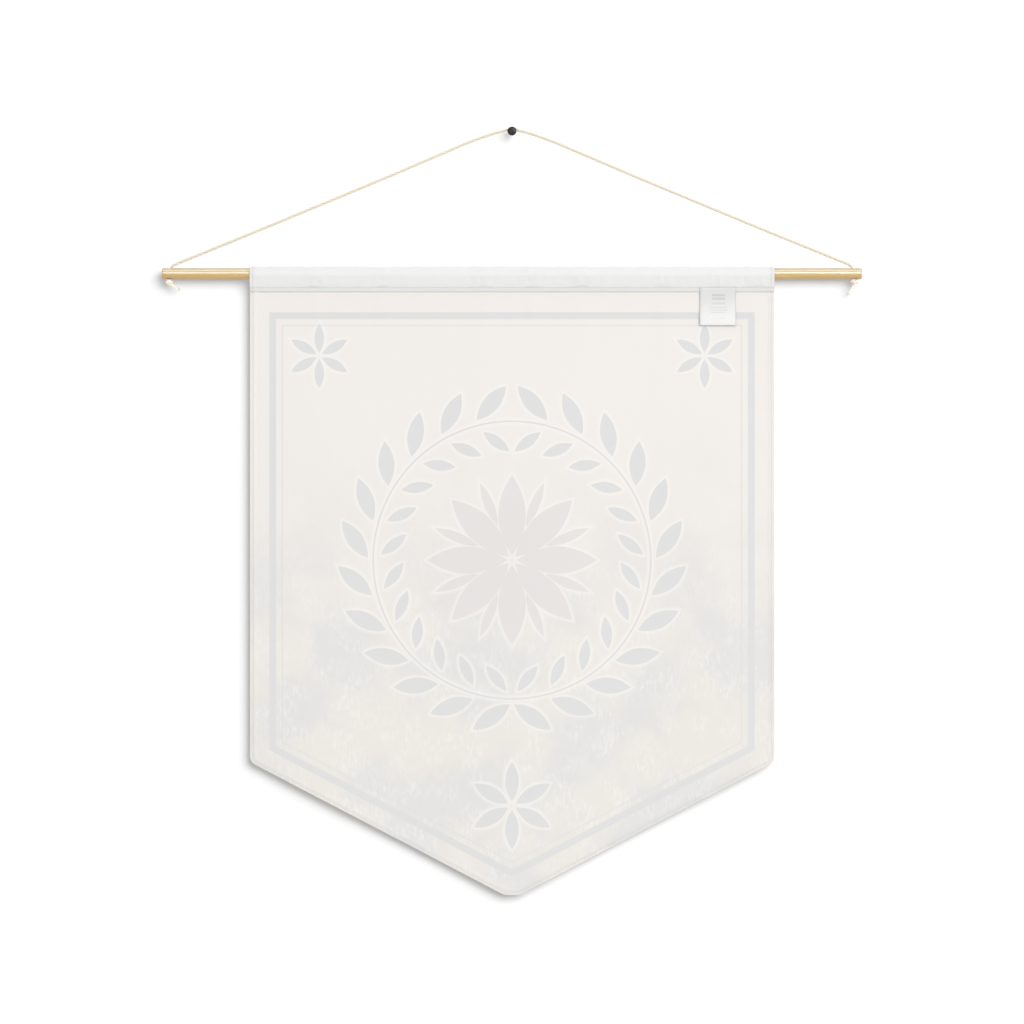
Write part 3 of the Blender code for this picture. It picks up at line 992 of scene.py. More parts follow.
@dataclass(frozen=True)
class SewingThread:
    """White polyester sewing thread, a little greyer and glossier than the cloth."""

    white: str = "#D8D8D6"
    twist_spacing: float = 0.4

    def build(self) -> Material:
        """Make the thread, with its twist as fine slanting bands.

        Returns:
            The material.
        """
        material, add, shader = start_material("sewing_thread", {
            "Roughness": 0.55, "Specular IOR Level": 0.4, "Sheen Weight": 0.2})
        where = add("ShaderNodeTexCoord").outputs["Object"]
        bands = add(NOISE, {"Vector": where, "Scale": 1.0 / (self.twist_spacing * MM), "Detail": 1.0})
        tone = add(RANGE, {0: bands, 1: 0.3, 2: 0.7, 3: 0.88, 4: 1.0})
        base = add(VECTOR, {0: colour(self.white)[:3], "Scale": tone}, operation="SCALE")
        feed(shader, {"Base Color": base})
        return material


@dataclass(frozen=True)
class BlackenedSteel:
    """Steel nail blackened in oil. It is near black, with a half gloss that hammering has roughened."""

    dark: str = "#2D2D2F"
    worn: str = "#5A5553"
    dent_size: float = 1.1
    dent_depth: float = 0.08

    def build(self) -> Material:
        """Make the steel with its uneven blacking.

        Returns:
            The material.
        """
        material, add, shader = start_material("blackened_steel", {
            "Metallic": 0.55, "Specular IOR Level": 0.5})
        where = add("ShaderNodeTexCoord").outputs["Object"]
        dents = add(NOISE, {"Vector": where, "Scale": 1.0 / (self.dent_size * MM), "Detail": 3.0})
        worn = add(RANGE, {0: dents, 1: 0.45, 2: 0.75, 3: 0.0, 4: 0.7})
        base = add(MIX, {MIX_FACTOR: worn, MIX_FIRST: colour(self.dark), MIX_SECOND: colour(self.worn)},
                   data_type="RGBA")
        gloss = add(RANGE, {0: dents, 1: 0.3, 2: 0.7, 3: 0.28, 4: 0.45})
        bump = add("ShaderNodeBump", {"Strength": 0.3, "Distance": self.dent_depth * MM, "Height": dents})
        feed(shader, {"Base Color": base, "Roughness": gloss, "Normal": bump})
        return material


# Studio


@dataclass
class Studio:
    """Camera, lights, wall and floor of a plain product picture."""

    frame_width: float = 892.6
    view_z: float = -332.1
    subject_y: float = -8.0
    dowel_z: float = -124.4
    lens: float = 160.0
    sensor: float = 36.0
    floor_z: float = -850.0
    stage_size: float = 9000.0
    ambient: float = 0.775
    ambient_from_above: float = 0.05
    ambient_edge: float = 0.3
    key_direction: tuple[float, float, float] = (0.50, -1.0, 0.42)
    key_distance: float = 8000.0
    key_size: float = 5700.0
    key_power: float = 385.0
    wall_glow: float = 0.335
    wall_paint: str = "#898989"
    floor_paint: str = "#E9E8E6"
    wall_key_direction: tuple[float, float, float] = (0.66, -1.0, 0.56)
    wall_key_size: tuple[float, float] = (7400.0, 6200.0)
    wall_key_power: float = 1950.0
    gloss_tint: tuple[float, float, float] = (0.60, 0.84, 1.0)

    def __post_init__(self) -> None:
        """Start the collections of the pieces that have lights of their own."""
        self.wall, self.wood, self.textile = (
            bpy.data.collections.new(name) for name in ("lit_wall", "lit_wood", "lit_textile"))

    def camera(self) -> None:
        """Place the camera straight in front of the banner, at the photograph's framing."""
        data = bpy.data.cameras.new("camera")
        data.lens = self.lens
        data.sensor_width = self.sensor
        item = bpy.data.objects.new("camera", data)
        distance = self.frame_width * self.lens / self.sensor
        item.location = Vector((0.0, self.subject_y - distance, self.view_z)) * MM
        item.rotation_euler = (math.pi / 2, 0.0, 0.0)
        bpy.context.scene.collection.objects.link(item)
        bpy.context.scene.camera = item

    def soft_box(self, name: str, place: Point, aim: Point, size: tuple[float, float],
                 power: float) -> Piece:
        """Add a rectangular light that no surface passes on to the next.

        So the shadows on the wall stay a clean grey, as they are in the photograph.

        Args:
            name: the light's name.
            place: where it stands, in millimetres.
            aim: the point that it faces, in millimetres.
            size: its width and height, in millimetres.
            power: its power in watts.

        Returns:
            The light.
        """
        data = bpy.data.lights.new(name, "AREA")
        data.shape = "RECTANGLE"
        data.size = size[0] * MM
        data.size_y = size[1] * MM
        data.energy = power
        data.cycles.max_bounces = 0
        item = bpy.data.objects.new(name, data)
        item.location = Vector(place) * MM
        item.rotation_euler = (Vector(aim) - Vector(place)).to_track_quat("-Z", "Y").to_euler()
        item.visible_camera = False
        bpy.context.scene.collection.objects.link(item)
        return item

    def lights(self) -> None:
        """Add the large keys from the upper right, lights for the wood or the cloth alone and rear lights.

        One key is the wall's own. The wood's, which light the dowel and its knots, are a band and a panel
        that the varnish mirrors. Dim cards light the wood and the cloth from below, and one the cloth's
        upper edge from behind. The rear lights are for views from behind, where the wall doesn't show.
        """
        middle = Vector((0.0, self.subject_y, self.view_z))
        place = middle + Vector(self.key_direction).normalized() * self.key_distance
        self.soft_box("key", place, middle, (self.key_size, self.key_size), self.key_power)
        place = middle + Vector(self.wall_key_direction).normalized() * self.key_distance
        wall_key = self.soft_box("wall_key", place, middle, self.wall_key_size, self.wall_key_power)
        wall_key.light_linking.receiver_collection = self.wall
        dowel = (0.0, self.subject_y, self.dowel_z)
        for name, place, size, power in (("varnish_line", (0.0, -2400.0, 640.0), (2600.0, 1000.0), 112.0),
                                         ("varnish_glow", (0.0, 200.0, 1700.0), (2800.0, 3200.0), 180.0)):
            gloss = self.soft_box(name, place, dowel, size, power)
            gloss.data.color = self.gloss_tint
            gloss.visible_diffuse = False
            gloss.light_linking.receiver_collection = self.wood
        below, behind = (0.0, -1500.0, -3500.0), (0.0, 900.0, 1700.0)
        for name, lit, place, width, power in (("dowel_card", self.wood, below, 4000.0, 66.0),
                                               ("textile_card", self.textile, below, 4000.0, 60.0),
                                               ("textile_rim", self.textile, behind, 1600.0, 11.0)):
            card = self.soft_box(name, place, dowel, (width, width), power)
            card.visible_glossy = False
            card.light_linking.receiver_collection = lit
            card.light_linking.blocker_collection = lit
        for name, place, power in (("rear_key", (-1500.0, 2600.0, 900.0), 64.0),
                                   ("rear_fill", (1900.0, 2400.0, -500.0), 40.0)):
            self.soft_box(name, place, middle, (2200.0, 2200.0), power)

    def world(self) -> None:
        """Even light from the room in front of the wall. The camera sees plain white behind everything."""
        world = bpy.data.worlds.new("studio_world")
        bpy.context.scene.world = world
        world.cycles.max_bounces = 0
        world.use_nodes = True
        world.node_tree.nodes.clear()
        add = partial(add_node, world.node_tree)
        seen = add("ShaderNodeLightPath").outputs["Is Camera Ray"]
        place = add("ShaderNodeTexCoord").outputs["Generated"]
        way = add(AXES, {0: place})
        above = add(MATH, {0: way.outputs["Z"], 1: self.ambient_from_above, 2: 1.0},
                    operation="MULTIPLY_ADD")
        behind = add(RANGE, {0: way.outputs["Y"], 1: 0.0, 2: self.ambient_edge, 3: self.ambient, 4: 0.0},
                     interpolation_type="SMOOTHSTEP")
        strength = add(MATH, {0: above, 1: behind}, operation="MULTIPLY")
        light = add("ShaderNodeBackground", {"Color": (1.0, 1.0, 1.0, 1.0), "Strength": strength})
        white = add("ShaderNodeBackground", {"Color": (1.0, 1.0, 1.0, 1.0), "Strength": 1.0})
        mixed = add("ShaderNodeMixShader", {0: seen, 1: light, 2: white})
        add("ShaderNodeOutputWorld", {"Surface": mixed})
        bpy.context.scene.view_settings.view_transform = "Standard"

    def stage_material(self, name: str, shade: str, glow: float) -> Material:
        """Matt paint that shows only from the front, so that the banner can be seen from behind.

        Args:
            name: the material's name.
            shade: the paint's colour.
            glow: light that the surface gives by itself, which keeps its shadows shallow and grey.

        Returns:
            The material.
        """
        material = bpy.data.materials.new(name)
        material.use_nodes = True
        material.node_tree.nodes.clear()
        add = partial(add_node, material.node_tree)
        side = add("ShaderNodeNewGeometry").outputs["Backfacing"]
        paint = add("ShaderNodeBsdfDiffuse", {"Color": colour(shade)})
        glowing = add("ShaderNodeEmission", {"Strength": glow})
        lit = add("ShaderNodeAddShader", {0: paint, 1: glowing})
        clear = add("ShaderNodeBsdfTransparent")
        mixed = add("ShaderNodeMixShader", {0: side, 1: lit, 2: clear})
        add("ShaderNodeOutputMaterial", {"Surface": mixed})
        material.cycles.emission_sampling = "NONE"
        return material

    def stage(self) -> None:
        """Add the white wall that the banner hangs on and a pale floor."""
        reach = self.stage_size / 2
        corners = {
            "stage_wall": ((-reach, 0.0, self.floor_z), (reach, 0.0, self.floor_z),
                           (reach, 0.0, reach), (-reach, 0.0, reach)),
            "stage_floor": ((-reach, -reach, self.floor_z), (reach, -reach, self.floor_z),
                            (reach, reach, self.floor_z), (-reach, reach, self.floor_z)),
        }
        for name, shade, glow in (("stage_wall", self.wall_paint, self.wall_glow),
                                  ("stage_floor", self.floor_paint, 0.0)):
            mesh = bpy.data.meshes.new(name)
            mesh.from_pydata([Vector(corner) * MM for corner in corners[name]], [], [(0, 1, 2, 3)])
            item = add_piece(name, mesh, [self.stage_material(name + "_paint", shade, glow)])
            item.visible_shadow = name == "stage_floor"
            if glow:
                self.wall.objects.link(item)

    def build(self) -> None:
        """Set up the whole studio."""
        self.camera()
        self.world()
        self.lights()
        self.stage()
        LOG.info("studio: camera %.0f mm in front of the banner", self.frame_width * self.lens / self.sensor)


# Cord and knots

# How fast the fibres' pattern changes along a ply, and how far loose fibres lean at the cord's end
FIBRE_RUN = 0.08
FRAY_LEAN = 0.42


def twisted_cord_recipe() -> Recipe:
    """Lay several plies round a route, and splay loose fibres from its end.

    Returns:
        The recipe. Its route carries the squeeze attribute, 1 where nothing presses the cord.
    """
    recipe = Recipe("twisted_cord",
                    ("Cord Radius", "Ply Radius", "Lay Length", "Step", "Fibre Twist Length", "Fray Length",
                     "Fray Radius"), ("Plies", "Sides", "Fray Count", "Seed"))
    add, given = recipe.add, recipe.given
    route = add("GeometryNodeMeshToCurve", {"Mesh": given["Geometry"]})
    even = add("GeometryNodeResampleCurve", {"Curve": route, "Length": given["Step"]}, mode="LENGTH")
    level = add("GeometryNodeSetCurveNormal", {"Curve": even}, mode="MINIMUM_TWIST")
    run = add("GeometryNodeSplineParameter").outputs["Length"]
    marked = add("GeometryNodeStoreNamedAttribute",
                 {"Geometry": level, "Name": "run", "Value": run}, data_type="FLOAT", domain="POINT")
    copies = add("GeometryNodeDuplicateElements",
                 {"Geometry": marked, "Amount": given["Plies"]}, domain="SPLINE")
    squeeze = add("GeometryNodeInputNamedAttribute", {"Name": SQUEEZE}, data_type="FLOAT")
    turns = add(MATH, {0: run, 1: given["Lay Length"]}, operation="DIVIDE")
    share = add(MATH, {0: copies.outputs["Duplicate Index"], 1: given["Plies"]}, operation="DIVIDE")
    total = add(MATH, {0: turns, 1: share}, operation="ADD")
    angle = add(MATH, {0: total, 1: FULL_TURN}, operation="MULTIPLY")
    off = add(MATH, {0: given["Cord Radius"], 1: given["Ply Radius"]}, operation="SUBTRACT")
    reach = add(MATH, {0: off, 1: squeeze}, operation="MULTIPLY")
    normal = add("GeometryNodeInputNormal").outputs["Normal"]
    tangent = add("GeometryNodeInputTangent")
    aside = add(VECTOR, {0: tangent, 1: normal}, operation="CROSS_PRODUCT")
    parts = []
    for direction, wave in ((normal, "COSINE"), (aside, "SINE")):
        swing = add(MATH, {0: angle}, operation=wave)
        length = add(MATH, {0: swing, 1: reach}, operation="MULTIPLY")
        parts.append(add(VECTOR, {0: direction, "Scale": length}, operation="SCALE"))
    shift = add(VECTOR, {0: parts[0], 1: parts[1]}, operation="ADD")
    laid = add("GeometryNodeSetPosition", {"Geometry": copies, "Offset": shift})
    ring = add("GeometryNodeCurvePrimitiveCircle",
               {"Resolution": given["Sides"], "Radius": given["Ply Radius"]}, mode="RADIUS")
    here = add("GeometryNodeInputPosition")
    round_it = add("GeometryNodeStoreNamedAttribute", {"Geometry": ring, "Name": "around", "Value": here},
                   data_type="FLOAT_VECTOR", domain="POINT")
    plies = add("GeometryNodeCurveToMesh",
                {"Curve": laid, "Profile Curve": round_it, "Scale": squeeze, "Fill Caps": True})
    around = add("GeometryNodeInputNamedAttribute", {"Name": "around"}, data_type="FLOAT_VECTOR")
    along = add("GeometryNodeInputNamedAttribute", {"Name": "run"}, data_type="FLOAT")
    spin = add(MATH, {0: along, 1: given["Fibre Twist Length"]}, operation="DIVIDE")
    spin = add(MATH, {0: spin, 1: FULL_TURN}, operation="MULTIPLY")
    spun = add("ShaderNodeVectorRotate", {"Vector": around, "Angle": spin}, rotation_type="Z_AXIS")
    drawn = add(MATH, {0: along, 1: FIBRE_RUN}, operation="MULTIPLY")
    lengthways = add("ShaderNodeCombineXYZ", {2: drawn})
    place = add(VECTOR, {0: spun, 1: lengthways}, operation="ADD")
    cord = add("GeometryNodeStoreNamedAttribute", {"Geometry": plies, "Name": FIBRE_PLACE, "Value": place},
               data_type="FLOAT_VECTOR", domain="POINT")
    fray = frayed_end(recipe, level)
    joined = add("GeometryNodeJoinGeometry")
    for part in (cord, fray):
        feed(joined, {0: part})
    recipe.close(joined)
    return recipe


def frayed_end(recipe: Recipe, route: Source) -> Source:
    """Add the loose fibres at the end of a cord's route.

    Args:
        recipe: the cord's recipe.
        route: the route's curve.

    Returns:
        The fibres' mesh.
    """
    add, given = recipe.add, recipe.given
    end = add("GeometryNodeSampleCurve", {"Curves": route, "Factor": 1.0}, mode="FACTOR")
    scatter = add("FunctionNodeRandomValue",
                  {0: (-1.0, -1.0, -1.0), 1: (1.0, 1.0, 1.0), "Seed": given["Seed"]},
                  data_type="FLOAT_VECTOR")
    thick = add(MATH, {0: given["Cord Radius"], 1: 0.5}, operation="MULTIPLY")
    aside = add(VECTOR, {0: scatter, "Scale": thick}, operation="SCALE")
    root = add(VECTOR, {0: end.outputs["Position"], 1: aside}, operation="ADD")
    points = add("GeometryNodePoints", {"Count": given["Fray Count"], "Position": root})
    splay = add(VECTOR, {0: scatter, "Scale": FRAY_LEAN}, operation="SCALE")
    heading = add(VECTOR, {0: end.outputs["Tangent"], 1: splay}, operation="ADD")
    turn = add("FunctionNodeAlignRotationToVector", {"Vector": heading}, axis="Z")
    size = add("FunctionNodeRandomValue", {2: 0.5, 3: 1.1, "Seed": given["Seed"]}, data_type="FLOAT")
    size = add(MATH, {0: size, 1: given["Fray Length"]}, operation="MULTIPLY")
    bend = add("GeometryNodeCurveQuadraticBezier",
               {"Resolution": 5, "Start": (0.0, 0.0, -0.25), "Middle": (0.0, 0.0, 0.5),
                "End": (0.28, 0.1, 1.0)})
    placed = add("GeometryNodeInstanceOnPoints",
                 {"Points": points, "Instance": bend, "Rotation": turn, "Scale": size})
    real = add("GeometryNodeRealizeInstances", {"Geometry": placed})
    ring = add("GeometryNodeCurvePrimitiveCircle",
               {"Resolution": 4, "Radius": given["Fray Radius"]}, mode="RADIUS")
    fibres = add("GeometryNodeCurveToMesh", {"Curve": real, "Profile Curve": ring, "Fill Caps": True})
    here = add("GeometryNodeInputPosition")
    return add("GeometryNodeStoreNamedAttribute", {"Geometry": fibres, "Name": FIBRE_PLACE, "Value": here},
               data_type="FLOAT_VECTOR", domain="POINT")


@dataclass
class HangingCord:
    """The 2.4 mm twisted cord, taut from the dowel's ends to the nail, with its stopper knots."""

    radius: float = 1.2
    crown_radius: float = 1.33
    ply_radius: float = 0.69
    lay_length: float = 14.0
    plies: int = 3
    axis_y: float = -8.0
    hole_x: float = 297.3
    end_z: float = -128.9
    top_z: float = 2.68
    step: float = 0.75
    sides: int = 10
    fibre_twist: float = 5.0
    knot_middle_z: float = -131.3
    ring_radius: float = 1.95
    winding_radius: float = 0.85
    knot_squeeze: float = 0.90
    tail_squeeze: float = 0.98
    knot_shift: float = 1.5
    samples: int = 21
    opening: float = math.radians(30.0)
    standing: tuple[Point, ...] = ((0.0, 0.2, 2.05), (0.1, 0.4, 1.75))
    fray_count: int = 22
    fray_length: float = 2.2
    fray_radius: float = 0.09
    seed: int = 7
    length: float = 662.0
    route_steps: int = 12
    knot_steps: int = 6

    def half_route(self) -> list[tuple[float, float]]:
        """Half of the route, from the dowel to the nail.

        Returns:
            Points of (distance from the nail's axis, height).
        """
        return [
            (self.hole_x, self.end_z), (self.hole_x, -125.2), (self.hole_x, -121.6), (296.9, -119.61),
            (295.78, -117.92), (294.1, -116.6), (291.0, -115.2), (219.2, -85.95), (115.0, -42.75),
            (60.0, -19.4), (36.0, -9.2), (26.0, -5.6), (15.0, -1.9), (6.0, 0.5), (1.7, 2.2),
            (0.0, self.top_z)]

    def route(self) -> list[Vector]:
        """The smooth route from the left hole over the nail to the right hole.

        Returns:
            The route's points.
        """
        half = self.half_route()
        left = [(-out, self.axis_y, z) for out, z in half]
        right = [(out, self.axis_y, z) for out, z in half[-2::-1]]
        return smooth_route(left + right, self.route_steps)

    def knot_route(self, turn: float, tail: Sequence[Point]) -> list[Vector]:
        """Line of an overhand knot round its own middle, a trefoil wound on a flat ring.

        Args:
            turn: how far the knot is turned about the cord.
            tail: points of the free tail, in the knot's own frame.

        Returns:
            The knot's points, from the dowel's side to the tail's end.
        """
        eye = math.pi / 3
        start = eye + FULL_TURN - self.opening
        end = eye + self.opening
        wound = []
        for step in range(self.samples + 1):
            angle = start + (end - start) * step / self.samples
            across = self.ring_radius + self.winding_radius * math.cos(3.0 * angle)
            height = self.winding_radius * math.sin(3.0 * angle)
            wound.append((across * math.cos(2.0 * angle), across * math.sin(2.0 * angle), height))
        twist = Matrix.Rotation(turn, 3, "Z")
        return [twist @ Vector(point) for point in (*self.standing, *wound, *tail)]

    def values(self, material: Material, fray_count: int) -> dict[str, Any]:
        """Values of the cord recipe's inputs.

        Args:
            material: the yarn.
            fray_count: number of loose fibres at the end.

        Returns:
            A value for each input, by its name.
        """
        return {
            "Cord Radius": self.crown_radius * MM, "Ply Radius": self.ply_radius * MM,
            "Lay Length": self.lay_length * MM, "Step": self.step * MM,
            "Fibre Twist Length": self.fibre_twist * MM, "Fray Length": self.fray_length * MM,
            "Fray Radius": self.fray_radius * MM, "Plies": self.plies, "Sides": self.sides,
            "Fray Count": fray_count, "Seed": self.seed, "Material": material}

    def build(self) -> list[Piece]:
        """The thin cord leaves no shadow on the wall, as in the photograph.

        Returns:
            The knots.
        """
        laid_up = CombedCotton().build()
        # The knots' yarn is a paler copy of the cord's: partly the looser fibres, partly painted light that
        # lifts the shade among them.
        fluffed_lightened = CombedCotton("combed_cotton_fluffed", light="#F9F3E8", dark="#E3D7C1").build()
        recipe = twisted_cord_recipe()
        line = self.route()
        cord = route_piece("hanging_cord_twisted", [line], SQUEEZE, "FLOAT", [1.0] * len(line))
        recipe.run(cord, self.values(laid_up, 0))
        cord.visible_shadow = False
        dress(cord, Slot.CORD, "hanging_cord")
        knots = []
        tails = (
            ("left", -self.hole_x - self.knot_shift, 0.0,
             ((-0.5, -0.1, -1.85), (1.9, -0.2, -2.7), (4.9, -0.1, -4.3), (7.6, 0.1, -6.3))),
            ("right", self.hole_x + self.knot_shift, math.pi,
             ((-0.6, -0.1, -1.85), (0.9, 0.1, -3.9), (2.9, 0.1, -7.0), (5.2, 0.3, -10.4))),
        )
        for side, x, turn, tail in tails:
            middle = Vector((x, self.axis_y, self.knot_middle_z))
            route = smooth_route(self.knot_route(turn, tail), self.knot_steps)
            knot_line = [point + middle for point in route]
            loose = self.knot_steps * (len(tail) - 1)
            squeeze = []
            for index in range(len(knot_line)):
                out = ease(2.0 * (index - (len(knot_line) - loose)) / loose)
                squeeze.append(self.knot_squeeze + (self.tail_squeeze - self.knot_squeeze) * out)
            knot = route_piece(f"stopper_knot_{side}", [knot_line], SQUEEZE, "FLOAT", squeeze)
            recipe.run(knot, self.values(fluffed_lightened, self.fray_count))
            dress(knot, Slot.CORD, f"knot_{side}")
            knots.append(knot)
        return knots


# Cloth, label and seams


@dataclass(frozen=True)
class Wave:
    """A soft upright wave across the cloth; a positive rise swells away from the wall."""

    x: float
    half_width: float
    rise: float


def raised(waves: Sequence[Wave], x: float, widening: float = 1.0) -> float:
    """How far a row of waves, each widened by a factor, lifts the cloth at x."""
    return sum(wave.rise * swell(x - wave.x, wave.half_width * widening) for wave in waves)


@dataclass(frozen=True)
class Wrinkles:
    """Fine uneven wrinkles: their height, their size across and down the cloth, and their seed."""

    height: float
    width: float
    length: float
    seed: float

    def at(self, across: float, down: float, more: float = 0.0) -> float:
        """How far the cloth stands out at a place; what is in more is added to the wrinkles' height."""
        place = Vector((across / self.width, self.seed, down / self.length))
        return (self.height + more) * noise.noise(place)


@dataclass(frozen=True)
class Bulge:
    """A swelling below the seam, by the drops at which it starts, is full, begins to fade and is gone."""

    rise: float
    start: float
    full: float
    fading: float
    gone: float

    def at(self, drop: float) -> float:
        """How far the cloth stands out at a distance below the seam."""
        grown = ease((drop - self.start) / (self.full - self.start))
        return self.rise * grown * (1.0 - ease((drop - self.fading) / (self.gone - self.fading)))


@dataclass
class BannerCloth:
    """The one cloth of the banner: panel with folded hems, top turned over and sewn as a rod pocket."""

    outline: Outline = Outline()
    axis_y: float = -8.0
    axis_z: float = -124.4
    reach: float = 6.31
    rod_gap_radius: float = 5.21
    stitch_z: float = -136.5
    flap_edge_z: float = -140.2
    thickness: float = 0.6
    hem_layer: float = 0.28
    hem_slope: float = 1.6
    hem_width: float = 4.35
    hem_stitch: float = 2.7
    wall_face_y: float = -7.05
    flap_face_y: float = -9.1
    seam_dip: float = 0.19
    column_spacing: float = 1.5
    row_spacing: float = 9.0
    hem_stops: tuple[float, ...] = (
        0.0, 0.08, 0.30, 0.60, 1.3, 2.0, 2.45, 2.7, 2.95, 3.6, 4.35, 4.85, 5.4, 5.95, 7.2)
    flap_rows: tuple[tuple[float, float, float], ...] = (
        (0.35, 0.16, 1.0), (0.8, 0.13, 1.0), (1.4, 0.16, 1.0), (2.1, 0.26, 1.0), (2.9, 0.38, 0.95),
        (3.45, 0.50, 0.8), (3.7, 0.68, 0.45))
    seam_stops: tuple[float, ...] = (0.0, 0.35, 0.8, 1.5, 2.6, 3.7, 4.4, 5.6, 8.0)
    pocket_stops: tuple[float, ...] = (0.0, 0.03, 0.08, 0.16, 0.28, 0.42, 0.58, 0.78)
    pocket_steps: int = 26
    dent_height: float = 0.05
    dent_width: float = 14.0
    dents_round: float = 1.4
    dent_seed: float = 9.2
    plumpness: float = 0.55
    plump_share: float = 1.6
    crease_start: float = math.radians(100.0)
    stitch_dip: float = 0.09
    stitch_dip_width: float = 0.5
    edge_half: float = 0.06
    hem_lift: float = 0.3
    hem_lift_fade: float = 2.0
    seam_dip_width: float = 0.8
    ripple_start: float = 1.4
    ripple_reach: float = 5.5
    ripple_widening: float = 1.25
    flap_ripple: float = 0.6
    panel_ripple: float = 0.5
    panel_ripple_shift: float = 40.0
    crease_gain: float = 0.42
    crease_widening: float = 1.6
    fine_creases: Wrinkles = Wrinkles(0.08, 2.6, 6.5, 7.3)
    broad_creases: Wrinkles = Wrinkles(0.16, 6.5, 11.0, 1.9)
    seam_wrinkles: Wrinkles = Wrinkles(0.14, 3.1, 9.0, 0.4)
    pucker_wrinkles: Wrinkles = Wrinkles(0.75, 2.2, 7.0, 5.1)
    panel_dents: Wrinkles = Wrinkles(0.10, 31.0, 44.0, 2.7)
    panel_dents_start: float = 20.0
    tension: Bulge = Bulge(0.45, 0.0, 9.0, 10.0, 85.0)
    shelf: Bulge = Bulge(0.34, 2.2, 4.6, 7.0, 67.0)
    growth_length: float = 170.0
    print_stop: float = math.radians(164.0)
    waves: tuple[Wave, ...] = (
        Wave(-176.0, 62.0, 1.0), Wave(-84.0, 58.0, -0.7), Wave(12.0, 74.0, 0.8),
        Wave(108.0, 60.0, -0.9), Wave(196.0, 54.0, 0.9))
    puckers: tuple[Wave, ...] = (
        Wave(-222.0, 9.0, 0.25), Wave(-171.0, 13.0, 0.55), Wave(-112.0, 11.0, 0.45), Wave(-25.0, 11.0, 0.60),
        Wave(18.0, 11.0, 0.55), Wave(61.0, 15.0, 0.60), Wave(133.0, 12.0, 0.45), Wave(180.0, 12.0, 0.35),
        Wave(213.0, 18.0, 0.50))

    @property
    def leave(self) -> float:
        """Angle from straight down at which the pocket leaves the round of the dowel."""
        return math.acos(self.rod_gap_radius / (self.axis_z - self.stitch_z))

    def column_stops(self) -> list[float]:
        """X of every column, closer together at the hems and at the tip.

        Returns:
            The places, from the left.
        """
        half = [self.outline.half_width - stop for stop in self.hem_stops]
        half += [self.outline.tip.x, self.outline.tip_half_flat,
                 self.outline.tip.x + self.outline.tip_radius * math.sin(self.outline.slant)]
        stops = sorted(set(half) | {-x for x in half})
        columns = [stops[0]]
        for stop in stops[1:]:
            start = columns[-1]
            pieces = max(1, round((stop - start) / self.column_spacing))
            columns += [start + (stop - start) * piece / pieces for piece in range(1, pieces + 1)]
        return columns

    def panel_stops(self, x: float) -> list[float]:
        """Heights of the panel's rows at x, from the stitch line down to the lower edge.

        Args:
            x: the column's place.

        Returns:
            The heights.
        """
        foot = self.outline.lower_edge(x)
        low = [foot + stop / math.cos(self.outline.slant) for stop in self.hem_stops][::-1]
        top = [self.stitch_z - drop for drop in self.seam_stops]
        longest = top[-1] - self.outline.tip_z
        pieces = round(longest / self.row_spacing)
        between = [top[-1] + (low[0] - top[-1]) * piece / pieces for piece in range(1, pieces)]
        return top + between + low

    def wave(self, x: float, z: float) -> float:
        """How far the panel swells away from the wall, with faint tension folds below the puckers.

        Args:
            x: place across the cloth.
            z: height.

        Returns:
            The distance.
        """
        drop = self.stitch_z - z
        swelling = ease((self.flap_edge_z - z) / self.growth_length) * raised(self.waves, x)
        folds = self.tension.at(drop) * raised(self.puckers, x)
        uneven = ease(drop / self.panel_dents_start) * self.panel_dents.at(x, z)
        return swelling + folds + self.shelf.at(drop) + uneven

    def seam_ripple(self, x: float, off: float) -> float:
        """Small upright wrinkles where the seam gathers the cloth, strongest near the stitches.

        Args:
            x: place along the seam.
            off: distance from the seam.

        Returns:
            How far the cloth stands out.
        """
        even = self.seam_wrinkles.at(x, off)
        creased = raised(self.puckers, x, self.ripple_widening) * self.pucker_wrinkles.at(x, off)
        return (even + creased) * ease(off / self.ripple_start) * math.exp(-off / self.ripple_reach)

    def sleeve_crease(self, x: float, off: float) -> float:
        """Short upright creases in the pocket, strongest where the seam gathers the cloth.

        Args:
            x: place along the dowel.
            off: distance along the cloth above the place where it meets the round of the dowel.

        Returns:
            How far the cloth stands out.
        """
        gathered = self.crease_gain * raised(self.puckers, x, self.crease_widening)
        return self.fine_creases.at(x, off, gathered) + self.broad_creases.at(x, off, gathered)

    def layers(self, inset: float) -> tuple[float, float]:
        """Thickness of the cloth at a distance from its edge.

        Args:
            inset: distance from the side or lower edge.

        Returns:
            How far the printed face draws in at the rounded fold, and the thickness there.
        """
        hem = 1.0 - ease((inset - self.hem_width) / self.hem_slope)
        dip = self.stitch_dip * swell(inset - self.hem_stitch, self.stitch_dip_width)
        total = self.thickness + hem * (self.hem_layer - dip)
        half = total / 2
        if inset < half:
            kept = max(self.edge_half, math.sqrt(max(0.0, half ** 2 - (half - inset) ** 2)))
            return half - kept, 2.0 * kept
        return 0.0, total

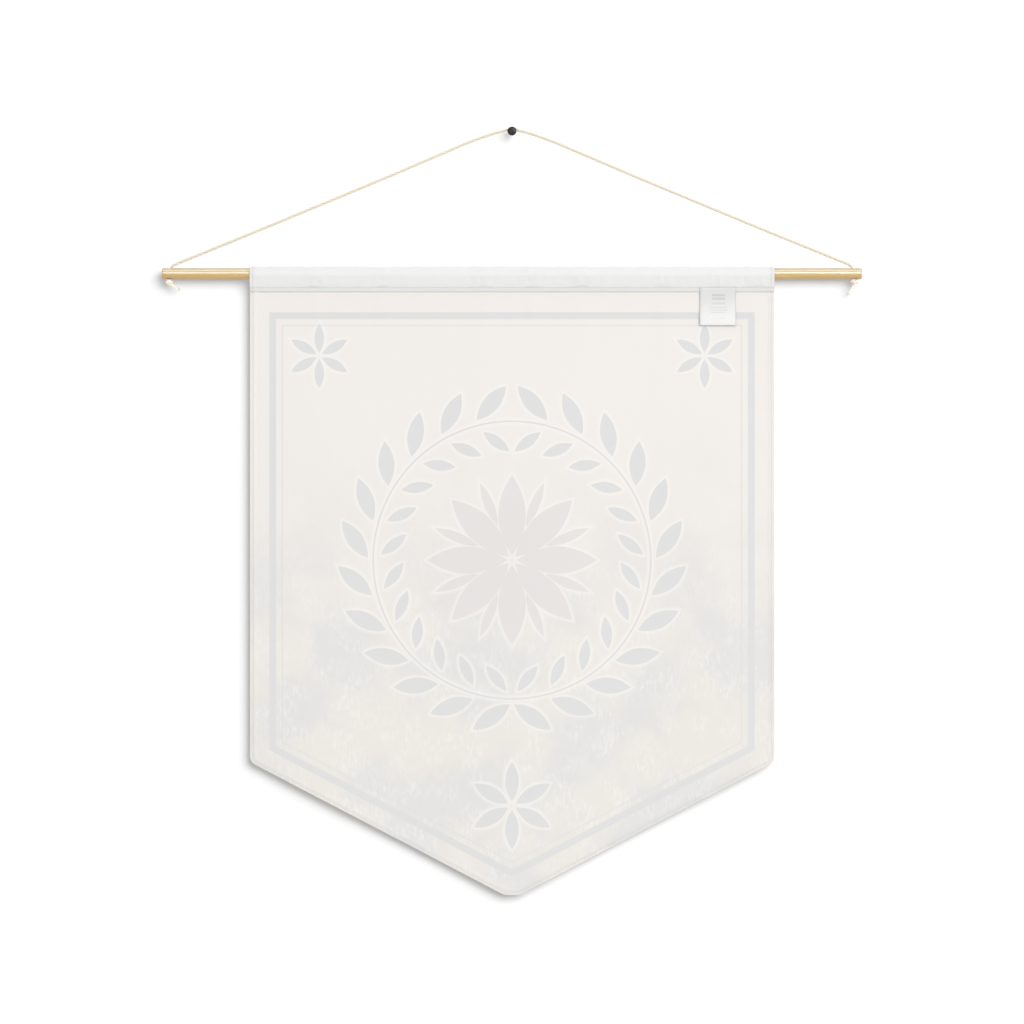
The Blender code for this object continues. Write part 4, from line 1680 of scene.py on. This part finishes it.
    def pocket_line(self, x: float) -> list[tuple[float, float, float, float]]:
        """The printed face round the pocket at x, from the stitch line on the wall side to the flap's.

        Args:
            x: the column's place.

        Returns:
            Points of (y, z, y towards the back face, z towards the back face).
        """
        slack = raised(self.puckers, x)
        leave = self.leave
        arc = []
        for step in range(self.pocket_steps + 1):
            angle = leave + (FULL_TURN - 2.0 * leave) * step / self.pocket_steps
            spot = Vector((x / self.dent_width, angle * self.dents_round, self.dent_seed))
            out = self.reach + slack * math.sin(angle) ** 2 + self.dent_height * noise.noise(spot)
            creased = self.sleeve_crease(x, self.reach * (FULL_TURN - leave - angle))
            out += creased * ease((angle - leave) / self.crease_start)
            sideways, upwards = math.sin(angle), -math.cos(angle)
            arc.append((self.axis_y + out * sideways, self.axis_z + out * upwards, -sideways, -upwards))
        flap_foot = self.flap_face_y + self.seam_dip - self.hem_push(x)
        straight = []
        for foot_y, joint, wallward in ((self.wall_face_y - self.seam_dip, arc[0], 1.0),
                                        (flap_foot, arc[-1], -1.0)):
            direction = Vector((joint[0] - foot_y, joint[1] - self.stitch_z))
            length = direction.length
            direction.normalize()
            inward = Vector((-direction.y * wallward, direction.x * wallward))
            points = []
            for share in self.pocket_stops:
                off = share * length
                rounded = math.sin(math.pi * min(1.0, share * self.plump_share))
                plump = self.plumpness * self.seam_dip * rounded + self.seam_ripple(x, off)
                if wallward < 0.0:
                    plump += self.sleeve_crease(x, off - length) * ease(2.0 * share)
                base = Vector((foot_y, self.stitch_z)) + direction * off - inward * plump
                points.append((base.x, base.y, inward.x, inward.y))
            straight.append(points)
        return straight[0] + arc + straight[1][::-1]

    def hem_push(self, x: float) -> float:
        """How far the hem's extra layers push the flap outwards at x."""
        past_hem = self.outline.half_width - abs(x) - self.hem_width
        return self.hem_lift * (1.0 - ease(past_hem / self.hem_lift_fade))

    def flap_line(self, x: float) -> list[tuple[float, float, float, float]]:
        """The flap's outer face from just below the stitch line to its edge.

        Args:
            x: the column's place.

        Returns:
            Points of (y, z, share of the thickness towards the back face, 0).
        """
        points = []
        for drop, set_back, share in self.flap_rows:
            y = self.flap_face_y + set_back - self.hem_push(x) - self.flap_ripple * self.seam_ripple(x, drop)
            points.append((y, self.stitch_z - drop, share, 0.0))
        return points

    def column(self, x: float) -> tuple[list[Point], list[Point], list[tuple[float, float]]]:
        """One column of the cloth, from the flap's edge over the pocket and down to the lower edge.

        Args:
            x: the column's place.

        Returns:
            Points on the printed face, points on the back face, and their places in the cloth.
        """
        side = self.outline.half_width - abs(x)
        drawn_in, thick = self.layers(side)
        upper = self.pocket_line(x) + self.flap_line(x)
        printed, back, places = [], [], []
        along = self.stitch_z
        previous = None
        for y, z, toward_y, toward_z in upper:
            if previous:
                along += math.hypot(y - previous[0], z - previous[1])
            previous = (y, z)
            printed.append((x, y + toward_y * drawn_in, z + toward_z * drawn_in))
            deep = drawn_in + thick
            back.append((x, y + toward_y * deep, z + toward_z * deep))
            places.append((x, along))
        printed, back, places = printed[::-1], back[::-1], places[::-1]
        for z in self.panel_stops(x)[1:]:
            drop = self.stitch_z - z
            dip = self.seam_dip * math.exp(-(drop / self.seam_dip_width) ** 2)
            ripple = self.panel_ripple * self.seam_ripple(x + self.panel_ripple_shift, drop)
            y = self.wall_face_y - dip - self.wave(x, z) + ripple
            drawn_in, thick = self.layers(min(side, self.outline.inset(x, z)))
            printed.append((x, y - drawn_in, z))
            back.append((x, y - drawn_in - thick, z))
            places.append((x, z))
        return printed, back, places

    def panel_face(self, x: float, z: float, face: Face) -> float:
        """Y of the panel's printed or back face at a place."""
        drawn_in, thick = self.layers(self.outline.inset(x, z))
        return self.wall_face_y - self.wave(x, z) - drawn_in - (thick if face is Face.BACK else 0.0)

    def print_top(self) -> float:
        """Place in the cloth where the print stops, just short of the pocket's top on the wall side.

        Returns:
            Its height on the cloth's map, in millimetres.
        """
        foot = Vector((self.wall_face_y - self.seam_dip, self.stitch_z))
        joint = Vector((self.axis_y + self.reach * math.sin(self.leave),
                        self.axis_z - self.reach * math.cos(self.leave)))
        return self.stitch_z + (joint - foot).length + self.reach * (self.print_stop - self.leave)

    def flap_top(self) -> float:
        """Place in the cloth of the seam on the flap's side, measured along the middle column."""
        line = [Vector(point[:2]) for point in self.pocket_line(0.0)]
        return self.stitch_z + sum((after - before).length for before, after in zip(line, line[1:]))

    def build(self) -> Piece:
        """Make the cloth as one thin closed sheet.

        Returns:
            The cloth.
        """
        printed, back, places = [], [], []
        for x in self.column_stops():
            outer, inner, where = self.column(x)
            printed.append(outer)
            back.append(inner)
            places.append(where)
        mesh = shell_mesh("banner_cloth_sheet", printed, back, places, CLOTH_MAP)
        finish = PolyesterPoplin()
        cloth = add_piece("banner_cloth_sheet", mesh, [finish.build(face, self) for face in Face])
        dress(cloth, Slot.CLOTH, "banner_cloth")
        return cloth


@dataclass
class CareLabel:
    """Satin label folded double, its ends caught in the pocket's seam. The fold stands off the cloth."""

    left: float = 163.4
    right: float = 194.9
    top_z: float = -136.1
    bottom_z: float = -169.6
    layer: float = 0.12
    top_y: float = -9.20
    first_slope: float = -0.112
    last_slope: float = 0.177
    top_gap: float = 0.13
    fold_gap: float = 0.80
    crease_z: float = -166.9
    crease_depth: float = 0.14
    crease_width: float = 1.1
    roll_z: float = -166.6
    roll_depth: float = 0.5
    left_lift: float = 0.72
    lift_gain: float = 0.3
    left_curl: float = 0.3
    right_curl: float = 0.1
    curl_growth: float = 4.0
    side_width: float = 0.12
    side_thinning: float = 0.35
    tuck: float = 0.4
    tuck_length: float = 1.3
    settling: float = 3.0
    fold_steps: int = 9
    rows: int = 34
    columns: int = 20

    def front(self, z: float, across: float) -> float:
        """Y of the front layer's middle at a height and a share of the label's width.

        Args:
            z: height.
            across: share of the label's width.

        Returns:
            The place.
        """
        length = self.top_z - self.bottom_z
        down = (self.top_z - z) / length
        outwards = (self.first_slope * down + 0.5 * (self.last_slope - self.first_slope) * down ** 2) * length
        uneven = (self.left_lift + self.lift_gain * across) * outwards
        rolled = self.roll_depth * max(0.0, (self.roll_z - z) / (self.roll_z - self.bottom_z)) ** 2
        for inset, curl in ((across, self.left_curl), (1.0 - across, self.right_curl)):
            rolled += curl * ease(self.curl_growth * down) * max(0.0, 1.0 - inset / self.side_width) ** 2
        rolled += self.tuck * max(0.0, 1.0 - (self.top_z - z) / self.tuck_length) ** 2
        return self.top_y - uneven + rolled + self.crease(z)

    def crease(self, z: float) -> float:
        """Depth at a height of the crease across the front layer."""
        return self.crease_depth * swell(z - self.crease_z, self.crease_width)

    def gap(self, z: float) -> float:
        """Distance between the middles of the two layers at a height."""
        opened = ease((self.top_z - z) / (self.top_z - self.bottom_z)) ** 2
        return self.top_gap + (self.fold_gap - self.top_gap) * opened

    def centre_line(self, across: float) -> list[Vector]:
        """The ribbon's middle at a share of its width, from the front layer's top round to the back layer's.

        Args:
            across: share of the label's width.

        Returns:
            Points of (y, z).
        """
        radius = self.fold_gap / 2
        fold_z = self.bottom_z + radius + self.layer / 2
        heights = [self.top_z + (fold_z - self.top_z) * row / self.rows for row in range(self.rows + 1)]
        down = [Vector((self.front(z, across), z)) for z in heights]
        middle_y = down[-1].x + radius
        turn = []
        for step in range(1, self.fold_steps):
            angle = math.pi * step / self.fold_steps
            turn.append(Vector((middle_y - radius * math.cos(angle), fold_z - radius * math.sin(angle))))
        lift = 2.0 * radius - self.gap(fold_z)
        up = []
        for z in heights[::-1]:
            settled = self.front(z, across) + self.gap(z) - self.crease(z)
            up.append(Vector((settled + lift * swell(z - fold_z, self.settling), z)))
        return down + turn + up

    def build(self) -> Piece:
        """Make the label as one thin closed sheet.

        Returns:
            The label.
        """
        outer, inner, places = [], [], []
        for column in range(self.columns + 1):
            across = column / self.columns
            x = self.left + (self.right - self.left) * across
            line = self.centre_line(across)
            front, behind, where = [], [], []
            along = 0.0
            for index, point in enumerate(line):
                before = line[max(index - 1, 0)]
                after = line[min(index + 1, len(line) - 1)]
                way = (after - before).normalized()
                out = Vector((way.y, -way.x)) * self.layer / 2
                along += (point - before).length
                out *= 1.0 - self.side_thinning * (1.0 - ease(min(across, 1.0 - across) * self.columns))
                front.append((x, *(point + out)))
                behind.append((x, *(point - out)))
                where.append((x - self.left, along))
            outer.append(front)
            inner.append(behind)
            places.append(where)
        mesh = shell_mesh("care_label_ribbon", outer, inner, places, LABEL_MAP)
        satin = SatinRibbon().build()
        label = add_piece("care_label_ribbon", mesh, [satin, satin])
        dress(label, Slot.LABEL, "care_label")
        return label


def lockstitch_recipe() -> Recipe:
    """Lay separate stitches along routes on the cloth.

    Returns:
        The recipe. Its routes carry the outward direction of the cloth's face.
    """
    recipe = Recipe("lockstitch", ("Pitch", "Stitch Length", "Rise", "Dip", "Thread Radius", "Slope"),
                    ("Sides", "Seed"))
    add, given = recipe.add, recipe.given
    route = add("GeometryNodeMeshToCurve", {"Mesh": given["Geometry"]})
    even = add("GeometryNodeResampleCurve", {"Curve": route, "Length": given["Pitch"]}, mode="LENGTH")
    half = add(MATH, {0: given["Stitch Length"], 1: 0.5}, operation="MULTIPLY")
    back = add(MATH, {0: half, 1: -1.0}, operation="MULTIPLY")
    low = add(MATH, {0: given["Dip"], 1: -1.0}, operation="MULTIPLY")
    high = add(MATH, {0: given["Rise"], 1: 2.0, 2: given["Dip"]}, operation="MULTIPLY_ADD")
    start = add("ShaderNodeCombineXYZ", {0: back, 2: low})
    middle = add("ShaderNodeCombineXYZ", {2: high})
    end = add("ShaderNodeCombineXYZ", {0: half, 2: low})
    arch = add("GeometryNodeCurveQuadraticBezier",
               {"Resolution": 5, "Start": start, "Middle": middle, "End": end})
    ring = add("GeometryNodeCurvePrimitiveCircle",
               {"Resolution": given["Sides"], "Radius": given["Thread Radius"]}, mode="RADIUS")
    stitch = add("GeometryNodeCurveToMesh", {"Curve": arch, "Profile Curve": ring, "Fill Caps": True})
    outward = add("GeometryNodeInputNamedAttribute", {"Name": OUTWARD}, data_type="FLOAT_VECTOR")
    tangent = add("GeometryNodeInputTangent")
    upright = add("FunctionNodeAlignRotationToVector", {"Vector": outward}, axis="Z")
    along = add("FunctionNodeAlignRotationToVector",
                {"Rotation": upright, "Vector": tangent}, axis="X", pivot_axis="Z")
    steep = add(MATH, {0: given["Slope"], 1: -1.0}, operation="MULTIPLY")
    yaw = add("FunctionNodeRandomValue", {2: steep, 3: given["Slope"], "Seed": given["Seed"]},
              data_type="FLOAT")
    turn = add("ShaderNodeCombineXYZ", {2: yaw})
    turn = add("FunctionNodeEulerToRotation", {0: turn})
    turned = add("FunctionNodeRotateRotation", {0: along, 1: turn}, rotation_space="LOCAL")
    placed = add("GeometryNodeInstanceOnPoints", {"Points": even, "Instance": stitch, "Rotation": turned})
    recipe.close(placed)
    return recipe


@dataclass
class Seams:
    """The stitched lines: the rod pocket's seam and the hems', on both faces of the cloth."""

    cloth: BannerCloth
    label: CareLabel
    pitch: float = 3.1
    stitch_length: float = 2.5
    rise: float = 0.10
    dip: float = 0.12
    thread_radius: float = 0.16
    sides: int = 5
    slope: float = math.radians(3.0)
    seed: int = 3
    pocket_steps: int = 160
    end_margin: float = 1.0
    label_margin: float = 0.4
    route_step: float = 4.0

    def pocket_lines(self) -> tuple[list[list[Point]], list[Point]]:
        """Lay out the pocket's seam, which shows on the flap and on the wall side.

        Returns:
            The routes, and the cloth's outward direction at each of their points.
        """
        cloth, label = self.cloth, self.label
        reach = cloth.outline.half_width - self.end_margin
        front, wall = [], []
        for step in range(self.pocket_steps + 1):
            x = -reach + 2.0 * reach * step / self.pocket_steps
            face = cloth.flap_face_y + cloth.seam_dip - cloth.hem_push(x)
            if label.left - self.label_margin < x < label.right + self.label_margin:
                face = label.front(cloth.stitch_z, 0.5) - label.layer / 2
            front.append((x, face, cloth.stitch_z))
            wall.append((x, cloth.wall_face_y - cloth.seam_dip, cloth.stitch_z))
        outward = [(0.0, -1.0, 0.0)] * len(front) + [(0.0, 1.0, 0.0)] * len(wall)
        return [front, wall], outward

    def hem_lines(self) -> tuple[list[list[Point]], list[Point]]:
        """Lay out the hems' seam: down both faces of the panel, and over the pocket at each side.

        Returns:
            The routes, and the cloth's outward direction at each of their points.
        """
        cloth = self.cloth
        depth = cloth.hem_stitch
        lines, outward = [], []
        for face, top, out in ((Face.BACK, cloth.flap_edge_z, -1.0), (Face.PRINTED, cloth.stitch_z, 1.0)):
            flat = [Vector(point) for point in cloth.outline.inset_line(depth, top - self.end_margin)]
            line = []
            for start, end in zip(flat, flat[1:]):
                pieces = max(1, round((end - start).length / self.route_step))
                for piece in range(pieces):
                    x, z = start + (end - start) * piece / pieces
                    line.append((x, cloth.panel_face(x, z, face), z))
            lines.append(line)
            outward += [(0.0, out, 0.0)] * len(line)
        for x in (-cloth.outline.half_width + depth, cloth.outline.half_width - depth):
            upper = (cloth.pocket_line(x) + cloth.flap_line(x)[:-1])[1:]
            lines.append([(x, y, z) for y, z, _, _ in upper])
            outward += [(0.0, -toward_y, -toward_z) for _, _, toward_y, toward_z in upper]
        return lines, outward

    def build(self) -> list[Piece]:
        """Sew both seams.

        Returns:
            The pieces of stitching.
        """
        thread = SewingThread().build()
        recipe = lockstitch_recipe()
        made = []
        for name, (lines, outward) in (("pocket_stitching", self.pocket_lines()),
                                       ("hem_stitching", self.hem_lines())):
            item = route_piece(name, lines, OUTWARD, "FLOAT_VECTOR", outward)
            recipe.run(item, {
                "Pitch": self.pitch * MM, "Stitch Length": self.stitch_length * MM, "Rise": self.rise * MM,
                "Dip": self.dip * MM, "Thread Radius": self.thread_radius * MM, "Slope": self.slope,
                "Sides": self.sides, "Seed": self.seed, "Material": thread})
            dress(item, Slot.CLOTH)
            made.append(item)
        return made


# Dowel and nail


@dataclass
class Dowel:
    """The round wooden dowel with an upright hole near each end."""

    length: float = 609.6
    radius: float = 4.76
    axis_y: float = -8.0
    axis_z: float = -124.4
    rounding: float = 0.7
    hole_x: float = 297.3
    hole_radius: float = 1.7
    flare_radius: float = 2.6
    worn_radius: float = 3.6
    flare_depth: float = 1.0
    drill_overrun: float = 2.0
    rings_by_hole: tuple[float, ...] = (3.4, -3.4, -6.0)
    rings_between: tuple[float, ...] = (200.0, 100.0)
    sides: int = 72
    drill_sides: int = 32
    rounding_steps: int = 4
    sharp_from: float = math.radians(38.0)

    def profile(self) -> list[tuple[float, float]]:
        """Half of the lathe profile from the right end inwards, with rings kept close to the hole.

        Returns:
            Points of (x, radius).
        """
        half = self.length / 2
        turned = [(half, 0.0), (half, self.radius * 0.5)]
        for step in range(self.rounding_steps + 1):
            angle = math.pi / 2 * step / self.rounding_steps
            turned.append((half - self.rounding * (1.0 - math.cos(angle)),
                           self.radius - self.rounding * (1.0 - math.sin(angle))))
        rings = [self.hole_x + off for off in self.rings_by_hole] + [*self.rings_between]
        return turned + [(x, self.radius) for x in rings]

    def drill(self, x: float) -> Piece:
        """The cutter of one hole, flared at its mouths. The knot has worn the lower one wider.

        Args:
            x: the hole's place along the dowel.

        Returns:
            The cutter.
        """
        beyond = self.radius + self.drill_overrun
        throat = self.radius - self.flare_depth
        spread = (beyond - throat) / self.flare_depth
        upper = self.hole_radius + spread * (self.flare_radius - self.hole_radius)
        lower = self.hole_radius + spread * (self.worn_radius - self.hole_radius)
        profile = [(-beyond, 0.0), (-beyond, lower), (-throat, self.hole_radius),
                   (throat, self.hole_radius), (beyond, upper), (beyond, 0.0)]
        mesh = turned_mesh("drill", profile, self.drill_sides, "Z")
        mesh.transform(shifted(x, self.axis_y, self.axis_z))
        return add_piece("drill", mesh)

    def build(self) -> Piece:
        """Turn the dowel and drill its holes.

        Returns:
            The dowel.
        """
        half = self.profile()
        profile = [(-x, radius) for x, radius in half] + half[::-1]
        mesh = turned_mesh("dowel_turned", profile, self.sides, "X")
        mesh.transform(shifted(0.0, self.axis_y, self.axis_z))
        dowel = add_piece("dowel_turned", mesh, [VarnishedBirch().build(self.length / 2)])
        cutters = [self.drill(x) for x in (-self.hole_x, self.hole_x)]
        for cutter in cutters:
            cut = dowel.modifiers.new("hole", "BOOLEAN")
            cut.operation = "DIFFERENCE"
            cut.solver = "EXACT"
            cut.object = cutter
        keep_evaluated_mesh(dowel)
        for cutter in cutters:
            bpy.data.objects.remove(cutter, do_unlink=True)
        dowel.data.set_sharp_from_angle(angle=self.sharp_from)
        dress(dowel, Slot.WOOD, "dowel_rod")
        return dowel


@dataclass
class Nail:
    """The nail that the cord hangs from: a low round head, dished in the middle, and its shank."""

    shank_radius: float = 1.3
    head_radius: float = 3.9
    head_drop: float = 0.3
    face_y: float = -12.2
    head_y: float = -10.4
    shank_y: float = -10.3
    taper_y: float = 15.0
    point_y: float = 18.0
    point_radius: float = 0.25
    eye_radius: float = 0.02
    sides: int = 56
    steps: int = 3
    sharp_from: float = math.radians(45.0)

    def head(self) -> list[tuple[float, float]]:
        """The head as (y, radius), from the dished middle over the rim to the neck."""
        return [(self.face_y, self.eye_radius), (self.face_y, 0.6), (-12.6, 1.2), (-12.5, 2.0), (-12.1, 3.0),
                (-11.5, 3.6), (-11.0, self.head_radius), (-10.6, 3.6), (-10.5, self.shank_radius + 0.5)]

    def build(self) -> Piece:
        """Turn the nail.

        Returns:
            The nail.
        """
        smooth = smooth_route([(along, radius, 0.0) for along, radius in self.head()], self.steps)
        profile = [(self.face_y, 0.0)] + [(point.x, max(self.eye_radius, point.y)) for point in smooth]
        profile += [(self.shank_y, self.shank_radius), (self.taper_y, self.shank_radius),
                    (self.point_y, self.point_radius), (self.point_y, 0.0)]
        mesh = turned_mesh("nail_turned", profile, self.sides, "Y")
        for vertex in mesh.vertices:
            if vertex.co.y < self.head_y * MM:
                vertex.co.z -= self.head_drop * MM
        nail = add_piece("nail_turned", mesh, [BlackenedSteel().build()])
        mesh.set_sharp_from_angle(angle=self.sharp_from)
        dress(nail, Slot.NAIL, "nail")
        return nail


def main() -> None:
    """Build the studio and every piece of the banner."""
    logging.basicConfig(level=logging.INFO, format="%(name)s: %(message)s")
    studio = Studio()
    studio.build()
    knots = HangingCord().build()
    cloth = BannerCloth()
    sheet = cloth.build()
    label = CareLabel()
    ribbon = label.build()
    stitching = Seams(cloth, label).build()
    studio.textile.objects.link(sheet)
    for piece in (Dowel().build(), *knots):
        studio.wood.objects.link(piece)
    Nail().build()


if __name__ == "__main__":
    main()
